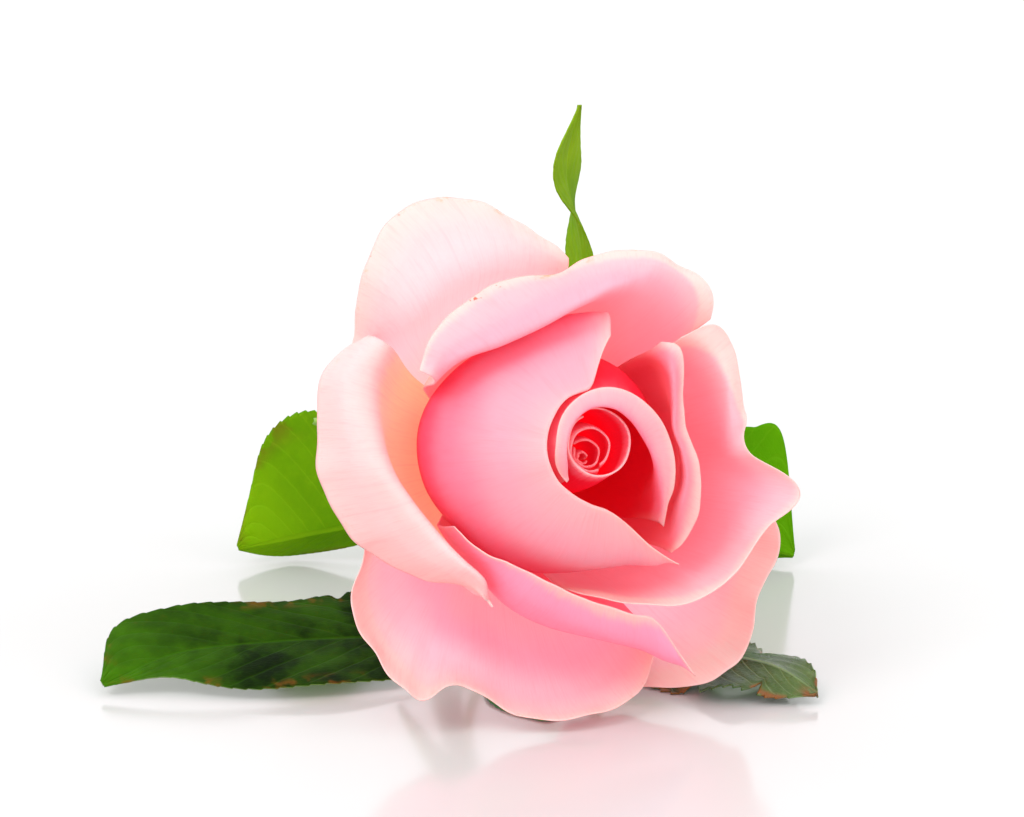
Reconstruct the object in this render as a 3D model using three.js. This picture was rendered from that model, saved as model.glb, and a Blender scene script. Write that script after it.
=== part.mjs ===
// A cut garden rose lying on its side: open bloom, calyx, stem and two compound leaves.
// Millimetres, +Z up. The table is z = 0, the bloom looks towards -Y and the stem runs back to +Y.
import * as THREE from "three";

// ---------------------------------------------------------------- driving dimensions
const BLOOM_ACROSS = 94; // spread of the open petals
const BLOOM_DEPTH = 50; // from the hip to the top of the heart
const BLOOM_TURN = 18; // degrees the bloom looks to the right of straight ahead
const BLOOM_RISE = 17; // degrees the bloom looks up
const BLOOM_LIFT = (BLOOM_ACROSS * 38) / 94; // hip rim above the table, higher for a wider bloom
const PETAL_THICKNESS = 0.4;

const HIP_RADIUS = 7.8;
const HIP_CROWN = 2.3; // how far the middle of the hip stands above its rim
const HIP_LENGTH = 14;
const SEPAL_LENGTH = 26;
const SEPAL_WIDTH = 8;
const SEPAL_THICKNESS = 0.6;

const STEM_RADIUS = 2.8;
const STEM_REACH = 128; // how far behind the hip rim the cut end lies
const STEM_SWING = -18; // how far to the side the cut end lies

const LEAFLET_THICKNESS = 0.5;
const LEAFLET_WIDEN = 1; // scales every leaflet's width
const RACHIS_RADIUS = 0.9;
const CLEARANCE = 0.3; // air between pieces that grow out of one another

// The petal ribs below are drawn on this bloom and follow the two bloom dimensions.
const RIB_ACROSS = 94;
const RIB_DEPTH = 50;

// ---------------------------------------------------------------- curves and frames
const radians = (degrees) => (degrees * Math.PI) / 180;

// A smooth curve through rows of numbers, 0 at the first row and 1 at the last.
function through(rows, t) {
  const last = rows.length - 1;
  const s = Math.min(Math.max(t, 0), 1) * last;
  const i = Math.min(Math.floor(s), last - 1);
  const f = s - i;
  const b = rows[i];
  const c = rows[i + 1];
  const a = i > 0 ? rows[i - 1] : b.map((x, k) => 2 * x - c[k]);
  const d = i + 2 <= last ? rows[i + 2] : c.map((x, k) => 2 * x - b[k]);
  return b.map((x, k) => {
    const slope = (c[k] - a[k]) / 2;
    const bend = a[k] - 2.5 * x + 2 * c[k] - d[k] / 2;
    const twist = 1.5 * (x - c[k]) + (d[k] - a[k]) / 2;
    return x + f * (slope + f * (bend + f * twist));
  });
}

// The bloom's own directions: right, up and out along its axis.
const axis = new THREE.Vector3(
  Math.sin(radians(BLOOM_TURN)) * Math.cos(radians(BLOOM_RISE)),
  -Math.cos(radians(BLOOM_TURN)) * Math.cos(radians(BLOOM_RISE)),
  Math.sin(radians(BLOOM_RISE)),
);
const bloomRight = new THREE.Vector3(Math.cos(radians(BLOOM_TURN)), Math.sin(radians(BLOOM_TURN)), 0);
const bloomUp = new THREE.Vector3().crossVectors(axis, bloomRight);
const bloomBase = new THREE.Vector3(0, 0, BLOOM_LIFT);

// A place on the bloom: degrees round its axis (0 right, 90 up), distance from it, height along it.
function onBloom(turn, radius, height) {
  const r = radius * (BLOOM_ACROSS / RIB_ACROSS);
  const h = height * (BLOOM_DEPTH / RIB_DEPTH);
  return bloomBase.clone()
    .addScaledVector(bloomRight, r * Math.cos(radians(turn)))
    .addScaledVector(bloomUp, r * Math.sin(radians(turn)))
    .addScaledVector(axis, h);
}

// ---------------------------------------------------------------- meshes
function mesh(name, color, points, faces) {
  const geometry = new THREE.BufferGeometry();
  const numbers = points.flatMap((p) => [p.x, p.y, p.z]);
  geometry.setAttribute("position", new THREE.Float32BufferAttribute(numbers, 3));
  geometry.setIndex(faces);
  geometry.computeVertexNormals();
  const piece = new THREE.Mesh(geometry, new THREE.MeshStandardMaterial({ color, roughness: 0.6 }));
  piece.name = name;
  return piece;
}

// A thin closed sheet of even thickness whose middle is place(u, v), u and v from 0 to 1.
function sheet(name, color, place, across, along, thickness) {
  const points = [];
  const step = 0.01;
  for (const side of [0.5, -0.5]) {
    for (let j = 0; j <= along; j += 1) {
      for (let i = 0; i <= across; i += 1) {
        const u = i / across;
        const v = j / along;
        const du = place(Math.min(u + step, 1), v).sub(place(Math.max(u - step, 0), v));
        const dv = place(u, Math.min(v + step, 1)).sub(place(u, Math.max(v - step, 0)));
        const normal = du.cross(dv).normalize();
        points.push(place(u, v).addScaledVector(normal, side * thickness));
      }
    }
  }
  const row = across + 1;
  const back = row * (along + 1);
  const faces = [];
  const quad = (a, b, c, d) => faces.push(a, b, c, a, c, d);
  for (let j = 0; j < along; j += 1) {
    for (let i = 0; i < across; i += 1) {
      const k = j * row + i;
      quad(k, k + 1, k + row + 1, k + row);
      quad(back + k, back + k + row, back + k + row + 1, back + k + 1);
    }
    const left = j * row;
    const right = left + across;
    quad(left, left + row, back + left + row, back + left);
    quad(right + row, right, back + right, back + right + row);
  }
  for (let i = 0; i < across; i += 1) {
    const top = along * row + i;
    quad(i + 1, i, back + i, back + i + 1);
    quad(top, top + 1, back + top + 1, back + top);
  }
  return mesh(name, color, points, faces);
}

// A closed tube round a path of [x, y, z, radius] rows.
function tube(name, color, path, sides, rings) {
  const points = [];
  const faces = [];
  const centre = (t) => new THREE.Vector3(...through(path, t));
  for (let j = 0; j <= rings; j += 1) {
    const t = j / rings;
    const along = centre(Math.min(t + 0.01, 1)).sub(centre(Math.max(t - 0.01, 0))).normalize();
    const side = new THREE.Vector3(0, 0, 1).cross(along);
    if (side.length() < 0.2) side.set(1, 0, 0).cross(along);
    side.normalize();
    const other = along.clone().cross(side);
    const radius = through(path, t)[3];
    for (let i = 0; i < sides; i += 1) {
      const a = (2 * Math.PI * i) / sides;
      const point = centre(t).addScaledVector(side, radius * Math.cos(a));
      points.push(point.addScaledVector(other, radius * Math.sin(a)));
    }
  }
  for (let j = 0; j < rings; j += 1) {
    for (let i = 0; i < sides; i += 1) {
      const a = j * sides + i;
      const b = j * sides + ((i + 1) % sides);
      faces.push(a, b, b + sides, a, b + sides, a + sides);
    }
  }
  const first = points.length;
  points.push(centre(0), centre(1));
  for (let i = 0; i < sides; i += 1) {
    const next = (i + 1) % sides;
    const top = rings * sides;
    faces.push(first, next, i, first + 1, top + i, top + next);
  }
  return mesh(name, color, points, faces);
}

// ---------------------------------------------------------------- petals
// Each rib is [degrees round the bloom, then (distance, height) pairs from low on the petal to its edge].
// seat is where the claw stands on the hip: [degrees, distance, half width in degrees].
// corner is how much of the height is rounded away towards the petal's two sides.
const SEAT_AIR = 0.45;
const seatHeight = (radius) => SEAT_AIR + HIP_CROWN * (1 - radius / (0.9 * HIP_RADIUS));

const petals = [
  {
    name: "upper_left_petal", color: 0xfbe0de, seat: [116, 5.7, 22], corner: 0.08,
    ribs: [
      [153, [16, 4], [29, 13], [34, 18], [36, 19], [38, 16]],
      [143, [16, 4], [30, 14], [36, 20], [38, 21], [40, 18]],
      [131, [15, 5], [29, 16], [35, 26], [42, 28], [46.5, 24]],
      [117, [15, 5], [29, 16], [36, 26], [44, 27], [50, 22]],
      [105, [15, 5], [29, 16], [35, 26], [42, 27], [48, 22]],
      [93, [15, 5], [28, 16], [33, 25], [37, 27], [41, 24]],
      [80, [15, 5], [26, 14], [30, 22], [33, 25], [36, 25]],
    ],
  },
  {
    name: "left_petal", color: 0xfbdcda, seat: [189, 5.7, 24], corner: 0.04,
    ribs: [
      [143, [15, 6], [27.5, 17], [34.5, 27], [38, 27.5], [39.5, 24.5]],
      [155, [15, 6], [28, 18], [34.7, 28], [40, 27.5], [43, 21]],
      [167, [17, 6], [27.5, 17], [33, 30], [38.5, 29.5], [41.5, 20]],
      [179, [17, 6], [27, 17], [31.2, 32], [36.5, 31], [41, 20]],
      [191, [17, 6], [26.5, 17], [29, 33.5], [34.3, 31], [39, 21]],
      [203, [17, 6], [26, 17], [27.4, 34.6], [32, 32], [36, 22]],
      [216, [17, 6], [26, 17], [26.5, 35.6], [29.5, 34.8], [32, 26]],
      [228, [17, 6], [26, 17], [26, 34], [28, 34], [28, 31]],
      [237, [17, 6], [26, 16], [27, 27], [29, 32], [29, 34]],
    ],
  },
  {
    name: "bottom_petal", color: 0xf6b3c1, seat: [249, 6.2, 22], corner: 0.04,
    ribs: [
      [200, [17, 2.6], [26, 8], [31, 12], [34, 15], [36, 18]],
      [211, [17, 2.6], [28, 8], [36, 13], [40, 17], [43, 21]],
      [222, [17, 2.6], [29, 8], [38, 13], [43, 17], [46, 22]],
      [233, [17, 2.6], [29, 8], [38, 14], [44, 19], [48, 25]],
      [243, [17, 2.6], [28, 8.6], [35, 16], [40, 20], [42, 24]],
      [256, [17, 2.6], [28, 8.6], [36, 16], [42, 21], [45, 26]],
      [270, [17, 2.6], [28, 8.6], [37, 16], [43, 22], [46, 27]],
      [284, [17, 2.6], [28, 8.6], [36, 15], [41, 21], [44, 25]],
      [296, [16, 2.8], [25, 8], [31, 12], [36, 16], [40, 21]],
    ],
  },
  {
    name: "lower_cup_petal", color: 0xf9b4cb, seat: [254, 5.1, 22], corner: 0,
    ribs: [
      [206, [14, 8], [21.5, 17], [23, 23], [23.2, 28], [23.2, 32]],
      [217, [14.5, 8], [22, 17], [23.4, 26], [23.6, 32], [23.6, 37]],
      [230, [15, 7.5], [22.5, 17], [24, 28], [24, 34], [22.5, 39]],
      [245, [15.5, 7], [24, 17], [27, 27], [26, 34], [22, 40]],
      [260, [16, 6.5], [25, 17], [29, 27], [28, 34], [23.5, 40]],
      [274, [16.5, 6.3], [26, 17], [31, 27], [31, 34], [26, 39.5]],
      [286, [16.5, 6], [27, 16], [34, 26], [35, 32], [29.3, 38]],
      [293, [16.5, 6], [28, 15], [37, 24], [40, 31], [33, 36]],
      [297, [16.5, 6], [29, 14], [38, 22], [43, 28], [45, 30]],
    ],
  },
  {
    name: "lower_right_petal", color: 0xf8ccd0, seat: [312, 6.7, 22], corner: 0.04,
    ribs: [
      [276, [15, 1], [25, 4], [31, 7], [36, 9], [39, 12]],
      [288, [17, 1], [27, 5], [34, 9], [40, 12], [44, 16]],
      [300, [17, 2], [29, 8], [37, 13], [43, 18], [48, 24]],
      [312, [18, 3], [30, 9], [38, 14], [44, 20], [48.5, 25]],
      [324, [18, 3], [29, 9], [36, 14], [41, 20], [45, 24]],
      [336, [17, 2.6], [28, 8.6], [35, 14], [40, 19], [45, 24]],
      [347, [16, 3], [25, 8], [31, 12], [36, 17], [41, 20]],
    ],
  },
  {
    name: "right_petal", color: 0xf48ca6, seat: [-30, 4.7, 32], corner: 0,
    ribs: [
      [41, [12.8, 7], [20.4, 16], [23.8, 26], [27, 34.6], [29.6, 36.8]],
      [36, [13.3, 6.8], [21.4, 15.8], [25.6, 26], [29.8, 34.8], [34.6, 35.6]],
      [28, [14, 6.4], [22.4, 15.4], [27, 25], [31, 34.2], [35.8, 33.8]],
      [19, [15, 6], [23, 15], [28, 24], [31, 34], [34.6, 32.5]],
      [8, [15, 6], [23, 15], [27, 24], [30, 33.5], [33.4, 31.5]],
      [-4, [15, 6], [23, 15], [28, 24], [30, 31], [33, 34]],
      [-13, [15, 6], [23, 14], [29, 23], [36, 30], [43.5, 32]],
      [-24, [15, 6], [23, 14], [29, 23], [34, 31], [38, 35]],
      [-40, [15, 6], [23, 14], [28, 24], [32, 32], [35.5, 37.5]],
      [-56, [13, 7], [22, 14], [26, 24], [29, 32], [32.5, 38]],
      [-70, [12, 7.3], [20, 14], [24, 24], [26.5, 32], [28.2, 37.5]],
      [-83, [12, 7.5], [19, 14], [22.3, 24], [23.8, 32], [24.8, 37]],
      [-95, [12, 7.8], [17.8, 13.5], [21, 22], [22.5, 28], [23, 33]],
    ],
  },
  {
    name: "hood_petal", color: 0xf8cfcf, seat: [96, 4.5, 34], corner: 0.04,
    ribs: [
      [148, [13, 8], [25, 22], [26.6, 33], [28.5, 37.5], [31.5, 37]],
      [138, [13, 8], [25.2, 22], [26, 38], [28.6, 39], [32, 36]],
      [122, [14, 7], [25.4, 22], [23, 40.5], [26.6, 41], [32, 35]],
      [103, [14, 7], [25.4, 22], [22.6, 42], [27, 41.5], [32, 34]],
      [86, [14, 7], [25.4, 22], [25, 42], [29, 40], [31.5, 34]],
      [72, [14, 7], [24.8, 20], [28.5, 40], [32.5, 38.5], [36, 34.5]],
      [58, [14, 7], [24, 20], [31, 34], [36, 36.5], [39, 34]],
      [46, [14, 7], [24.6, 18], [31, 30], [36, 34], [39.5, 34]],
      [37, [15, 6.6], [24.4, 17], [30, 26], [34, 31], [38, 34]],
    ],
  },
  {
    name: "inner_right_petal", color: 0xf9c3ca, seat: [0, 3.9, 34], corner: 0,
    ribs: [
      [46, [11, 8], [18, 17], [22, 27], [24, 35], [27, 38]],
      [38, [12, 8], [19, 18], [23, 28], [21.5, 40.5], [26, 38]],
      [25, [12, 8], [19, 18], [22, 28], [18.5, 41.5], [21.5, 39.5]],
      [10, [12, 8], [19, 18], [22, 28], [16.3, 42.5], [19.8, 39.5]],
      [-5, [12, 8], [18, 18], [21.5, 28], [17, 43], [20.8, 40]],
      [-18, [12, 8], [18, 18], [21, 28], [18, 43], [22.3, 39.5]],
      [-32, [12, 8], [18, 18], [21, 28], [18.8, 42], [24, 38.5]],
      [-43, [12, 8], [18, 17], [21, 26], [21.5, 37.5], [24.5, 37]],
      [-48, [12, 8], [17.5, 16], [21, 24], [23, 32], [24.5, 35]],
    ],
  },
  {
    name: "heart_wrap_petal", color: 0xf27f98, seat: [190, 3.9, 50], corner: 0,
    ribs: [
      [70, [11, 9], [19.6, 20], [25.2, 34], [21.6, 39.8], [14.5, 43.6]],
      [86, [11, 9], [19.6, 20], [23.9, 33], [19.8, 40], [10.8, 46.6]],
      [112, [11, 9], [20, 20], [22.4, 32], [18.3, 40.5], [10.2, 47.4]],
      [135, [12, 9], [21.6, 20], [23, 30], [18.6, 39.5], [9.5, 48]],
      [160, [13, 9], [23, 20], [23.4, 28], [18.2, 40], [8.8, 48]],
      [185, [13, 9], [22, 20], [23, 29], [16.5, 41], [8.3, 48]],
      [210, [13, 9], [20, 20], [21, 29], [16, 40], [8, 47.5]],
      [235, [11.5, 9], [19.5, 20], [20.5, 29], [16.5, 39], [8, 47.5]],
      [258, [9.5, 9.5], [18.5, 20], [20, 29], [17.5, 39], [8.7, 47.5]],
      [278, [9.5, 9.5], [17.5, 20], [20, 30], [18.5, 39], [9.8, 47]],
      [292, [9.5, 9.5], [17, 20], [21, 30], [20, 39], [13, 45.5]],
      [302, [9.5, 9.5], [17, 19], [22, 29], [23.5, 37], [20, 42.5]],
      [309, [9.5, 9.5], [17, 18], [22.5, 27], [25, 34], [26.2, 38]],
    ],
  },
  {
    name: "ring_petal", color: 0xe0556f, seat: [75, 3.3, 56], corner: 0,
    ribs: [
      [222, [8, 10], [11, 24], [9, 38], [6.2, 45], [6.8, 46.5]],
      [195, [8, 10], [12, 24], [10, 38], [5.7, 48], [7, 47]],
      [160, [8, 10], [14, 24], [12, 38], [6, 49], [7.3, 48.4]],
      [125, [9, 10], [15, 24], [13, 38], [6.8, 49.6], [8.9, 48.8]],
      [95, [9.5, 10], [17, 24], [15, 38], [7.6, 50], [10.2, 48.8]],
      [65, [10, 9], [18, 24], [16, 38], [7.8, 50], [11.5, 48]],
      [38, [10, 9], [18, 24], [16, 37], [7.8, 49.6], [12.5, 47]],
      [12, [10, 9], [18, 24], [15, 37], [8.4, 49], [14, 45.5]],
      [-10, [10, 9], [17, 24], [14.5, 37], [10.2, 48], [15.3, 44.6]],
      [-26, [10, 9], [16, 24], [14.5, 36], [12.4, 46.5], [16.3, 43.8]],
      [-36, [10, 9], [16, 23], [15.5, 35], [15, 44], [17.2, 42]],
      [-44, [10, 9], [16, 22], [17, 32], [18, 38.5], [19.5, 39]],
    ],
  },
  {
    name: "back_right_petal", color: 0xf7c3c8, seat: [28, 5.7, 22], corner: 0.12,
    ribs: [
      [62, [15, 3], [22, 7], [26, 10], [29, 12], [31, 12]],
      [45, [16, 3], [25, 8], [31, 12], [35, 13], [37, 11]],
      [28, [17, 2.6], [27, 7.5], [33, 11.5], [37, 12.5], [38, 10]],
      [11, [17, 2.6], [27, 7.5], [33, 11.5], [37, 12.5], [38, 10]],
      [-6, [15, 3], [23, 7], [28, 10], [31, 12], [33, 11]],
    ],
  },
  {
    name: "back_top_petal", color: 0xf7c9cb, seat: [100, 7, 20], corner: 0.12,
    ribs: [
      [136, [15, 1.5], [23, 4], [28, 5], [31, 4], [33, 2]],
      [118, [17, 1.5], [27, 5], [33, 7], [38, 6], [41, 2]],
      [100, [17, 1.5], [27, 5], [33, 7], [38, 6], [41, 2]],
      [82, [17, 1.5], [26, 5], [31, 7], [35, 6], [38, 3]],
      [66, [15, 1.5], [22, 4], [26, 5], [29, 5], [31, 3]],
    ],
  },
  {
    name: "back_left_petal", color: 0xf7c9cb, seat: [174, 7, 20], corner: 0.12,
    ribs: [
      [206, [14, 0.8], [20, 2], [24, 3], [26, 3], [27, 2]],
      [192, [16, 1], [24, 4], [28, 5], [31, 5], [32, 3]],
      [176, [16, 1.5], [25, 5], [29, 7], [32, 6], [33, 3]],
      [160, [16, 1.5], [25, 5], [29, 7], [32, 6], [33, 3]],
      [147, [15, 1.5], [21, 4], [25, 5], [27, 5], [28, 3]],
    ],
  },
];

function petalPlace(petal) {
  const [seatTurn, seatRadius, seatHalf] = petal.seat;
  const first = petal.ribs[0][0];
  const last = petal.ribs[petal.ribs.length - 1][0];
  const ribs = petal.ribs.map(([turn, ...pairs]) => {
    const part = (2 * turn - first - last) / Math.abs(last - first);
    const seat = [seatTurn + part * seatHalf, seatRadius, seatHeight(seatRadius)];
    return [seat, ...pairs.map(([r, h]) => [turn, r, h])];
  });
  return (u, v) => {
    const height = v * (1 - petal.corner * Math.abs(2 * u - 1) ** 5);
    return onBloom(...through(ribs.map((rib) => through(rib, height)), u));
  };
}

// The heart: rolled petals one inside the other, each leaning a little off the bloom's axis.
// [name, centre right, centre up, starting degrees, outer and inner rolled radius, edge height]
const scrolls = [
  ["scroll_petal_1", 0.9, 1.5, 100, 5.7, 4.8, 47, 0xd93355],
  ["scroll_petal_2", 0.3, 1.5, -70, 3.6, 3.0, 46, 0xcc2244],
  ["scroll_petal_3", 0.1, 1.0, 130, 2.3, 1.8, 45, 0xc01a36],
  ["scroll_petal_4", 0.0, 0.6, -30, 1.0, 0.7, 44, 0xb81530],
];

function scrollPlace(right, up, start, outer, inner, height) {
  return (u, v) => {
    const turn = start - 350 * u;
    const rolled = outer + (inner - outer) * u;
    const belly = 1 + 0.5 * Math.sin(Math.PI * v) * Math.min(1, rolled / 3) - 0.5 * (1 - v) ** 2;
    const flare = 0.25 * Math.max(0, v - 0.9) * 10 * (rolled / 5);
    const r = rolled * belly + flare;
    const x = right * v + r * Math.cos(radians(turn));
    const y = up * v + r * Math.sin(radians(turn));
    const top = height - 1.2 * Math.abs(2 * u - 1) ** 4;
    const low = seatHeight(rolled / 2);
    const h = low + (top - low) * v;
    return onBloom((Math.atan2(y, x) * 180) / Math.PI, Math.hypot(x, y), h);
  };
}

// ---------------------------------------------------------------- calyx and stem
function hip() {
  const outline = [
    [0, 0], [0.9, 0], [1, -0.1], [0.86, -0.22], [0.84, -0.42],
    [0.74, -0.7], [0.46, -0.93], [0.42, -1], [0, -1],
  ];
  const sides = 20;
  const points = [onBloom(0, 0, HIP_CROWN)];
  const faces = [];
  const rings = outline.slice(1, -1);
  for (const [r, h] of rings) {
    for (let i = 0; i < sides; i += 1) {
      points.push(onBloom((360 * i) / sides, r * HIP_RADIUS, h * HIP_LENGTH));
    }
  }
  points.push(onBloom(0, 0, -HIP_LENGTH));
  const last = points.length - 1;
  for (let i = 0; i < sides; i += 1) {
    const next = (i + 1) % sides;
    faces.push(0, 1 + i, 1 + next);
    for (let j = 0; j < rings.length - 1; j += 1) {
      const a = 1 + j * sides + i;
      const b = 1 + j * sides + next;
      faces.push(a, a + sides, b + sides, a, b + sides, b);
    }
    const low = 1 + (rings.length - 1) * sides;
    faces.push(last, low + next, low + i);
  }
  return mesh("hip", 0x5d8a3a, points, faces);
}

function sepal(index) {
  const turn = 90 + 72 * index;
  const place = (u, v) => {
    const swell = v < 0.25 ? 0.45 + 2 * v : 0.95;
    const half = (SEPAL_WIDTH / 2) * (0.08 + 0.92 * (1 - v) ** 0.8 * swell);
    const radius = HIP_RADIUS + CLEARANCE + 0.2 + SEPAL_LENGTH * v;
    const height = -1.6 - 2 * v - 8 * v * v + 0.8 * Math.cos(Math.PI * (u - 0.5)) - 0.8;
    const swing = (Math.atan2((u - 0.5) * 2 * half, radius) * 180) / Math.PI;
    return onBloom(turn - swing, radius, height);
  };
  return sheet(`sepal_${index + 1}`, 0x6f9a3f, place, 4, 8, SEPAL_THICKNESS);
}

const hipEnd = onBloom(0, 0, -HIP_LENGTH - CLEARANCE);
const stemPath = [
  [hipEnd.x, hipEnd.y, hipEnd.z, STEM_RADIUS * 0.95],
  [hipEnd.x - 5, hipEnd.y + 14, hipEnd.z - 5, STEM_RADIUS * 0.95],
  [STEM_SWING * 0.75, 42, BLOOM_LIFT * 0.5, STEM_RADIUS],
  [STEM_SWING * 0.95, 66, BLOOM_LIFT * 0.24, STEM_RADIUS],
  [STEM_SWING, 96, STEM_RADIUS + 1.5, STEM_RADIUS],
  [STEM_SWING, STEM_REACH, STEM_RADIUS + 0.2, STEM_RADIUS * 1.05],
];

// ---------------------------------------------------------------- leaves
// spine runs from the stalk to the tip. across is the direction of the first half at the stalk, the middle
// and the tip.
// halves lists the half widths of each side from stalk to tip. lift is how many degrees each side is folded
// up off the spine's own plane.
const leaflets = [
  {
    name: "left_front_leaflet", color: 0x3f6a1c,
    spine: [[-10, -1, 5], [-26, -4, 6], [-44, -8, 6.4], [-60, -12, 5.6], [-72.5, -18.5, 2]],
    across: [[0, 1, 0.3], [-0.2, 1, 0.34], [-0.8, 1, 0.4]], lift: [3, 2],
    halves: [[2, 13, 13.5, 11.5, 11.5, 12.5, 12, 0.7], [2, 11.5, 14.4, 15, 13.6, 10, 5, 0.7]],
  },
  {
    name: "right_front_leaflet", color: 0x6b8c40,
    spine: [[22, -1, 4.6], [29, -7, 5.4], [38, -13, 6], [47, -18, 5.4], [54, -24, 2.6]],
    across: [[0, 1, 0], [0.3, 1, 0.1], [0.5, 1, 0]], lift: [8, 18],
    halves: [[1.5, 9, 11.5, 12, 11.5, 9.5, 6, 0.7], [1.5, 8, 10.5, 11, 10.6, 9, 5.5, 0.7]],
  },
  {
    name: "centre_front_leaflet", color: 0x48733a,
    spine: [[5, 1, 2.6], [6, -8, 1.6], [6, -17, 0.8], [6, -25, 0.6], [6, -32, 0.5]],
    across: [[1, 0, 0], [1, 0, 0], [1, 0, 0]], lift: [0, 0],
    halves: [[1.5, 8, 10.5, 11, 10.8, 9.4, 6.2, 0.7], [1.5, 8, 10.5, 11, 10.8, 9.4, 6.2, 0.7]],
  },
  {
    name: "left_back_leaflet", color: 0x83b313,
    spine: [[-22, 55, 11], [-30, 56, 9], [-39, 57, 7], [-47, 57.5, 5.2], [-54, 58, 3.8]],
    across: [[0, 0.2, 1], [0.1, 0.2, 1], [-0.1, 0.2, 1]], lift: [0, -55],
    halves: [[4, 16, 22.5, 24.5, 23, 18.5, 10, 0.7], [1.5, 5, 6.6, 7, 6.8, 6, 4, 0.7]],
  },
  {
    name: "right_back_leaflet", color: 0x5b900e,
    spine: [[9, 54, 15], [21, 55, 12], [33, 56, 9], [43, 57, 5.6], [56, 58, 2.2]],
    across: [[0, 0.2, 1], [0, 0.2, 1], [-0.16, 0.2, 1]], lift: [0, 55],
    halves: [[4, 16, 20.5, 20.6, 21.6, 23, 23, 1.2], [1.5, 5, 6.6, 7, 6.8, 6, 4, 0.7]],
  },
  {
    name: "top_leaflet", color: 0x7ba52a,
    spine: [[12.5, 45, 46], [13.4, 45, 58], [13.2, 45, 69], [10.3, 45, 82], [12.6, 45, 95]],
    across: [[-0.4, 1, 0], [-0.4, 1, 0], [-0.32, 1, 0], [0.32, 1, 0], [0.3, 1, 0]], lift: [0, 0],
    halves: [[1.2, 4, 7, 8.5, 9.5, 10, 7, 0.6], [1.2, 4, 6, 5, 4.6, 8, 8, 0.6]],
  },
];

function leaflet(leaf) {
  const spineAt = (v) => new THREE.Vector3(...through(leaf.spine, v));
  const place = (u, v) => {
    const along = spineAt(Math.min(v + 0.01, 1)).sub(spineAt(Math.max(v - 0.01, 0))).normalize();
    const across = new THREE.Vector3(...through(leaf.across, v));
    across.addScaledVector(along, -across.dot(along)).normalize();
    const up = new THREE.Vector3().crossVectors(across, along);
    const side = 1 - 2 * u;
    const half = side > 0 ? 0 : 1;
    const lift = radians(leaf.lift[half]);
    const width = through(leaf.halves[half].map((x) => [x]), v)[0];
    const reach = side * width * LEAFLET_WIDEN;
    const point = spineAt(v).addScaledVector(across, reach * Math.cos(lift));
    return point.addScaledVector(up, Math.abs(reach) * Math.sin(lift));
  };
  return sheet(leaf.name, leaf.color, place, 8, 12, LEAFLET_THICKNESS);
}

// Leaf stalks, [x, y, z, radius]: from the stem to the last leaflet, then the short ones of the side leaflets.
const R = RACHIS_RADIUS;
const S = RACHIS_RADIUS * 0.7;
const stalks = [
  ["front_leaf_stalk", [[-9, 23, 25, R], [-7, 19, 14, R], [-1, 12, 6, R], [3, 6, 4, R], [4.6, 2, 3, R * 0.8]]],
  ["left_front_stalk", [[-1.5, 10, 5.5, S], [-5, 5, 5.5, S], [-9.4, 0, 5.2, S]]],
  ["right_front_stalk", [[3.5, 9.5, 5.3, S], [12, 6, 5.6, S], [21.4, -0.5, 4.7, S]]],
  [
    "back_leaf_stalk",
    [[-10, 43, 20, R], [-4, 50, 17, R], [2, 53, 22, R], [9, 49, 33, R], [13, 45.2, 45, R * 0.8]],
  ],
  ["left_back_stalk", [[-5, 51.8, 18, S], [-13, 53, 25, S], [-20, 54.3, 16, S], [-21.4, 54.8, 11.8, S]]],
  ["right_back_stalk", [[2.2, 54, 20, S], [5, 54.6, 16.6, S], [8.4, 54.1, 15.2, S]]],
];

// ---------------------------------------------------------------- assembly
const rose = new THREE.Group();
rose.name = "cut_rose";
const add = (piece) => rose.add(piece);

for (const petal of petals) {
  const across = Math.round(Math.max(8, petal.ribs.length * 1.6));
  add(sheet(petal.name, petal.color, petalPlace(petal), across, 10, PETAL_THICKNESS));
}
for (const [name, right, up, start, outer, inner, height, color] of scrolls) {
  add(sheet(name, color, scrollPlace(right, up, start, outer, inner, height), 18, 7, PETAL_THICKNESS));
}
add(hip());
for (let i = 0; i < 5; i += 1) add(sepal(i));
add(tube("stem", 0x4f7d33, stemPath, 12, 20));
for (const leaf of leaflets) add(leaflet(leaf));
for (const [name, path] of stalks) add(tube(name, 0x7a8f3c, path, 8, 8));

// Origin under the middle of the outer box, on the table.
const box = new THREE.Box3().setFromObject(rose);
const middle = box.getCenter(new THREE.Vector3());
rose.position.set(-middle.x, -middle.y, -box.min.z);

export default rose;
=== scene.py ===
import math
import bmesh
import bpy
import numpy as np
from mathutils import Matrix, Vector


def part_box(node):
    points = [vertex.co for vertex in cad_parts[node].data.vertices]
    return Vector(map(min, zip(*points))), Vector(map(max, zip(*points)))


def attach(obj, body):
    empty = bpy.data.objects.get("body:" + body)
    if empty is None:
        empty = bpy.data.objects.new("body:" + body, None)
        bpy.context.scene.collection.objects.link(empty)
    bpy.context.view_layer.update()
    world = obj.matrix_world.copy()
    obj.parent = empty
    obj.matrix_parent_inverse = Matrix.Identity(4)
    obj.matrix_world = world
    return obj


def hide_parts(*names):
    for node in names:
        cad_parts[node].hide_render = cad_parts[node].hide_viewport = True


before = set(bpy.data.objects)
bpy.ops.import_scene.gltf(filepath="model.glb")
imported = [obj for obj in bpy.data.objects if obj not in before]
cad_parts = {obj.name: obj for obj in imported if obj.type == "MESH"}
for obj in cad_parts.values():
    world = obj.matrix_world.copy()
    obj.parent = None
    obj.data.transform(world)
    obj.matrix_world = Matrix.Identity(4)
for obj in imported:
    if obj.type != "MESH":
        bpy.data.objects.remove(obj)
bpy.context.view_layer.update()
MM = 0.001


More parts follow.
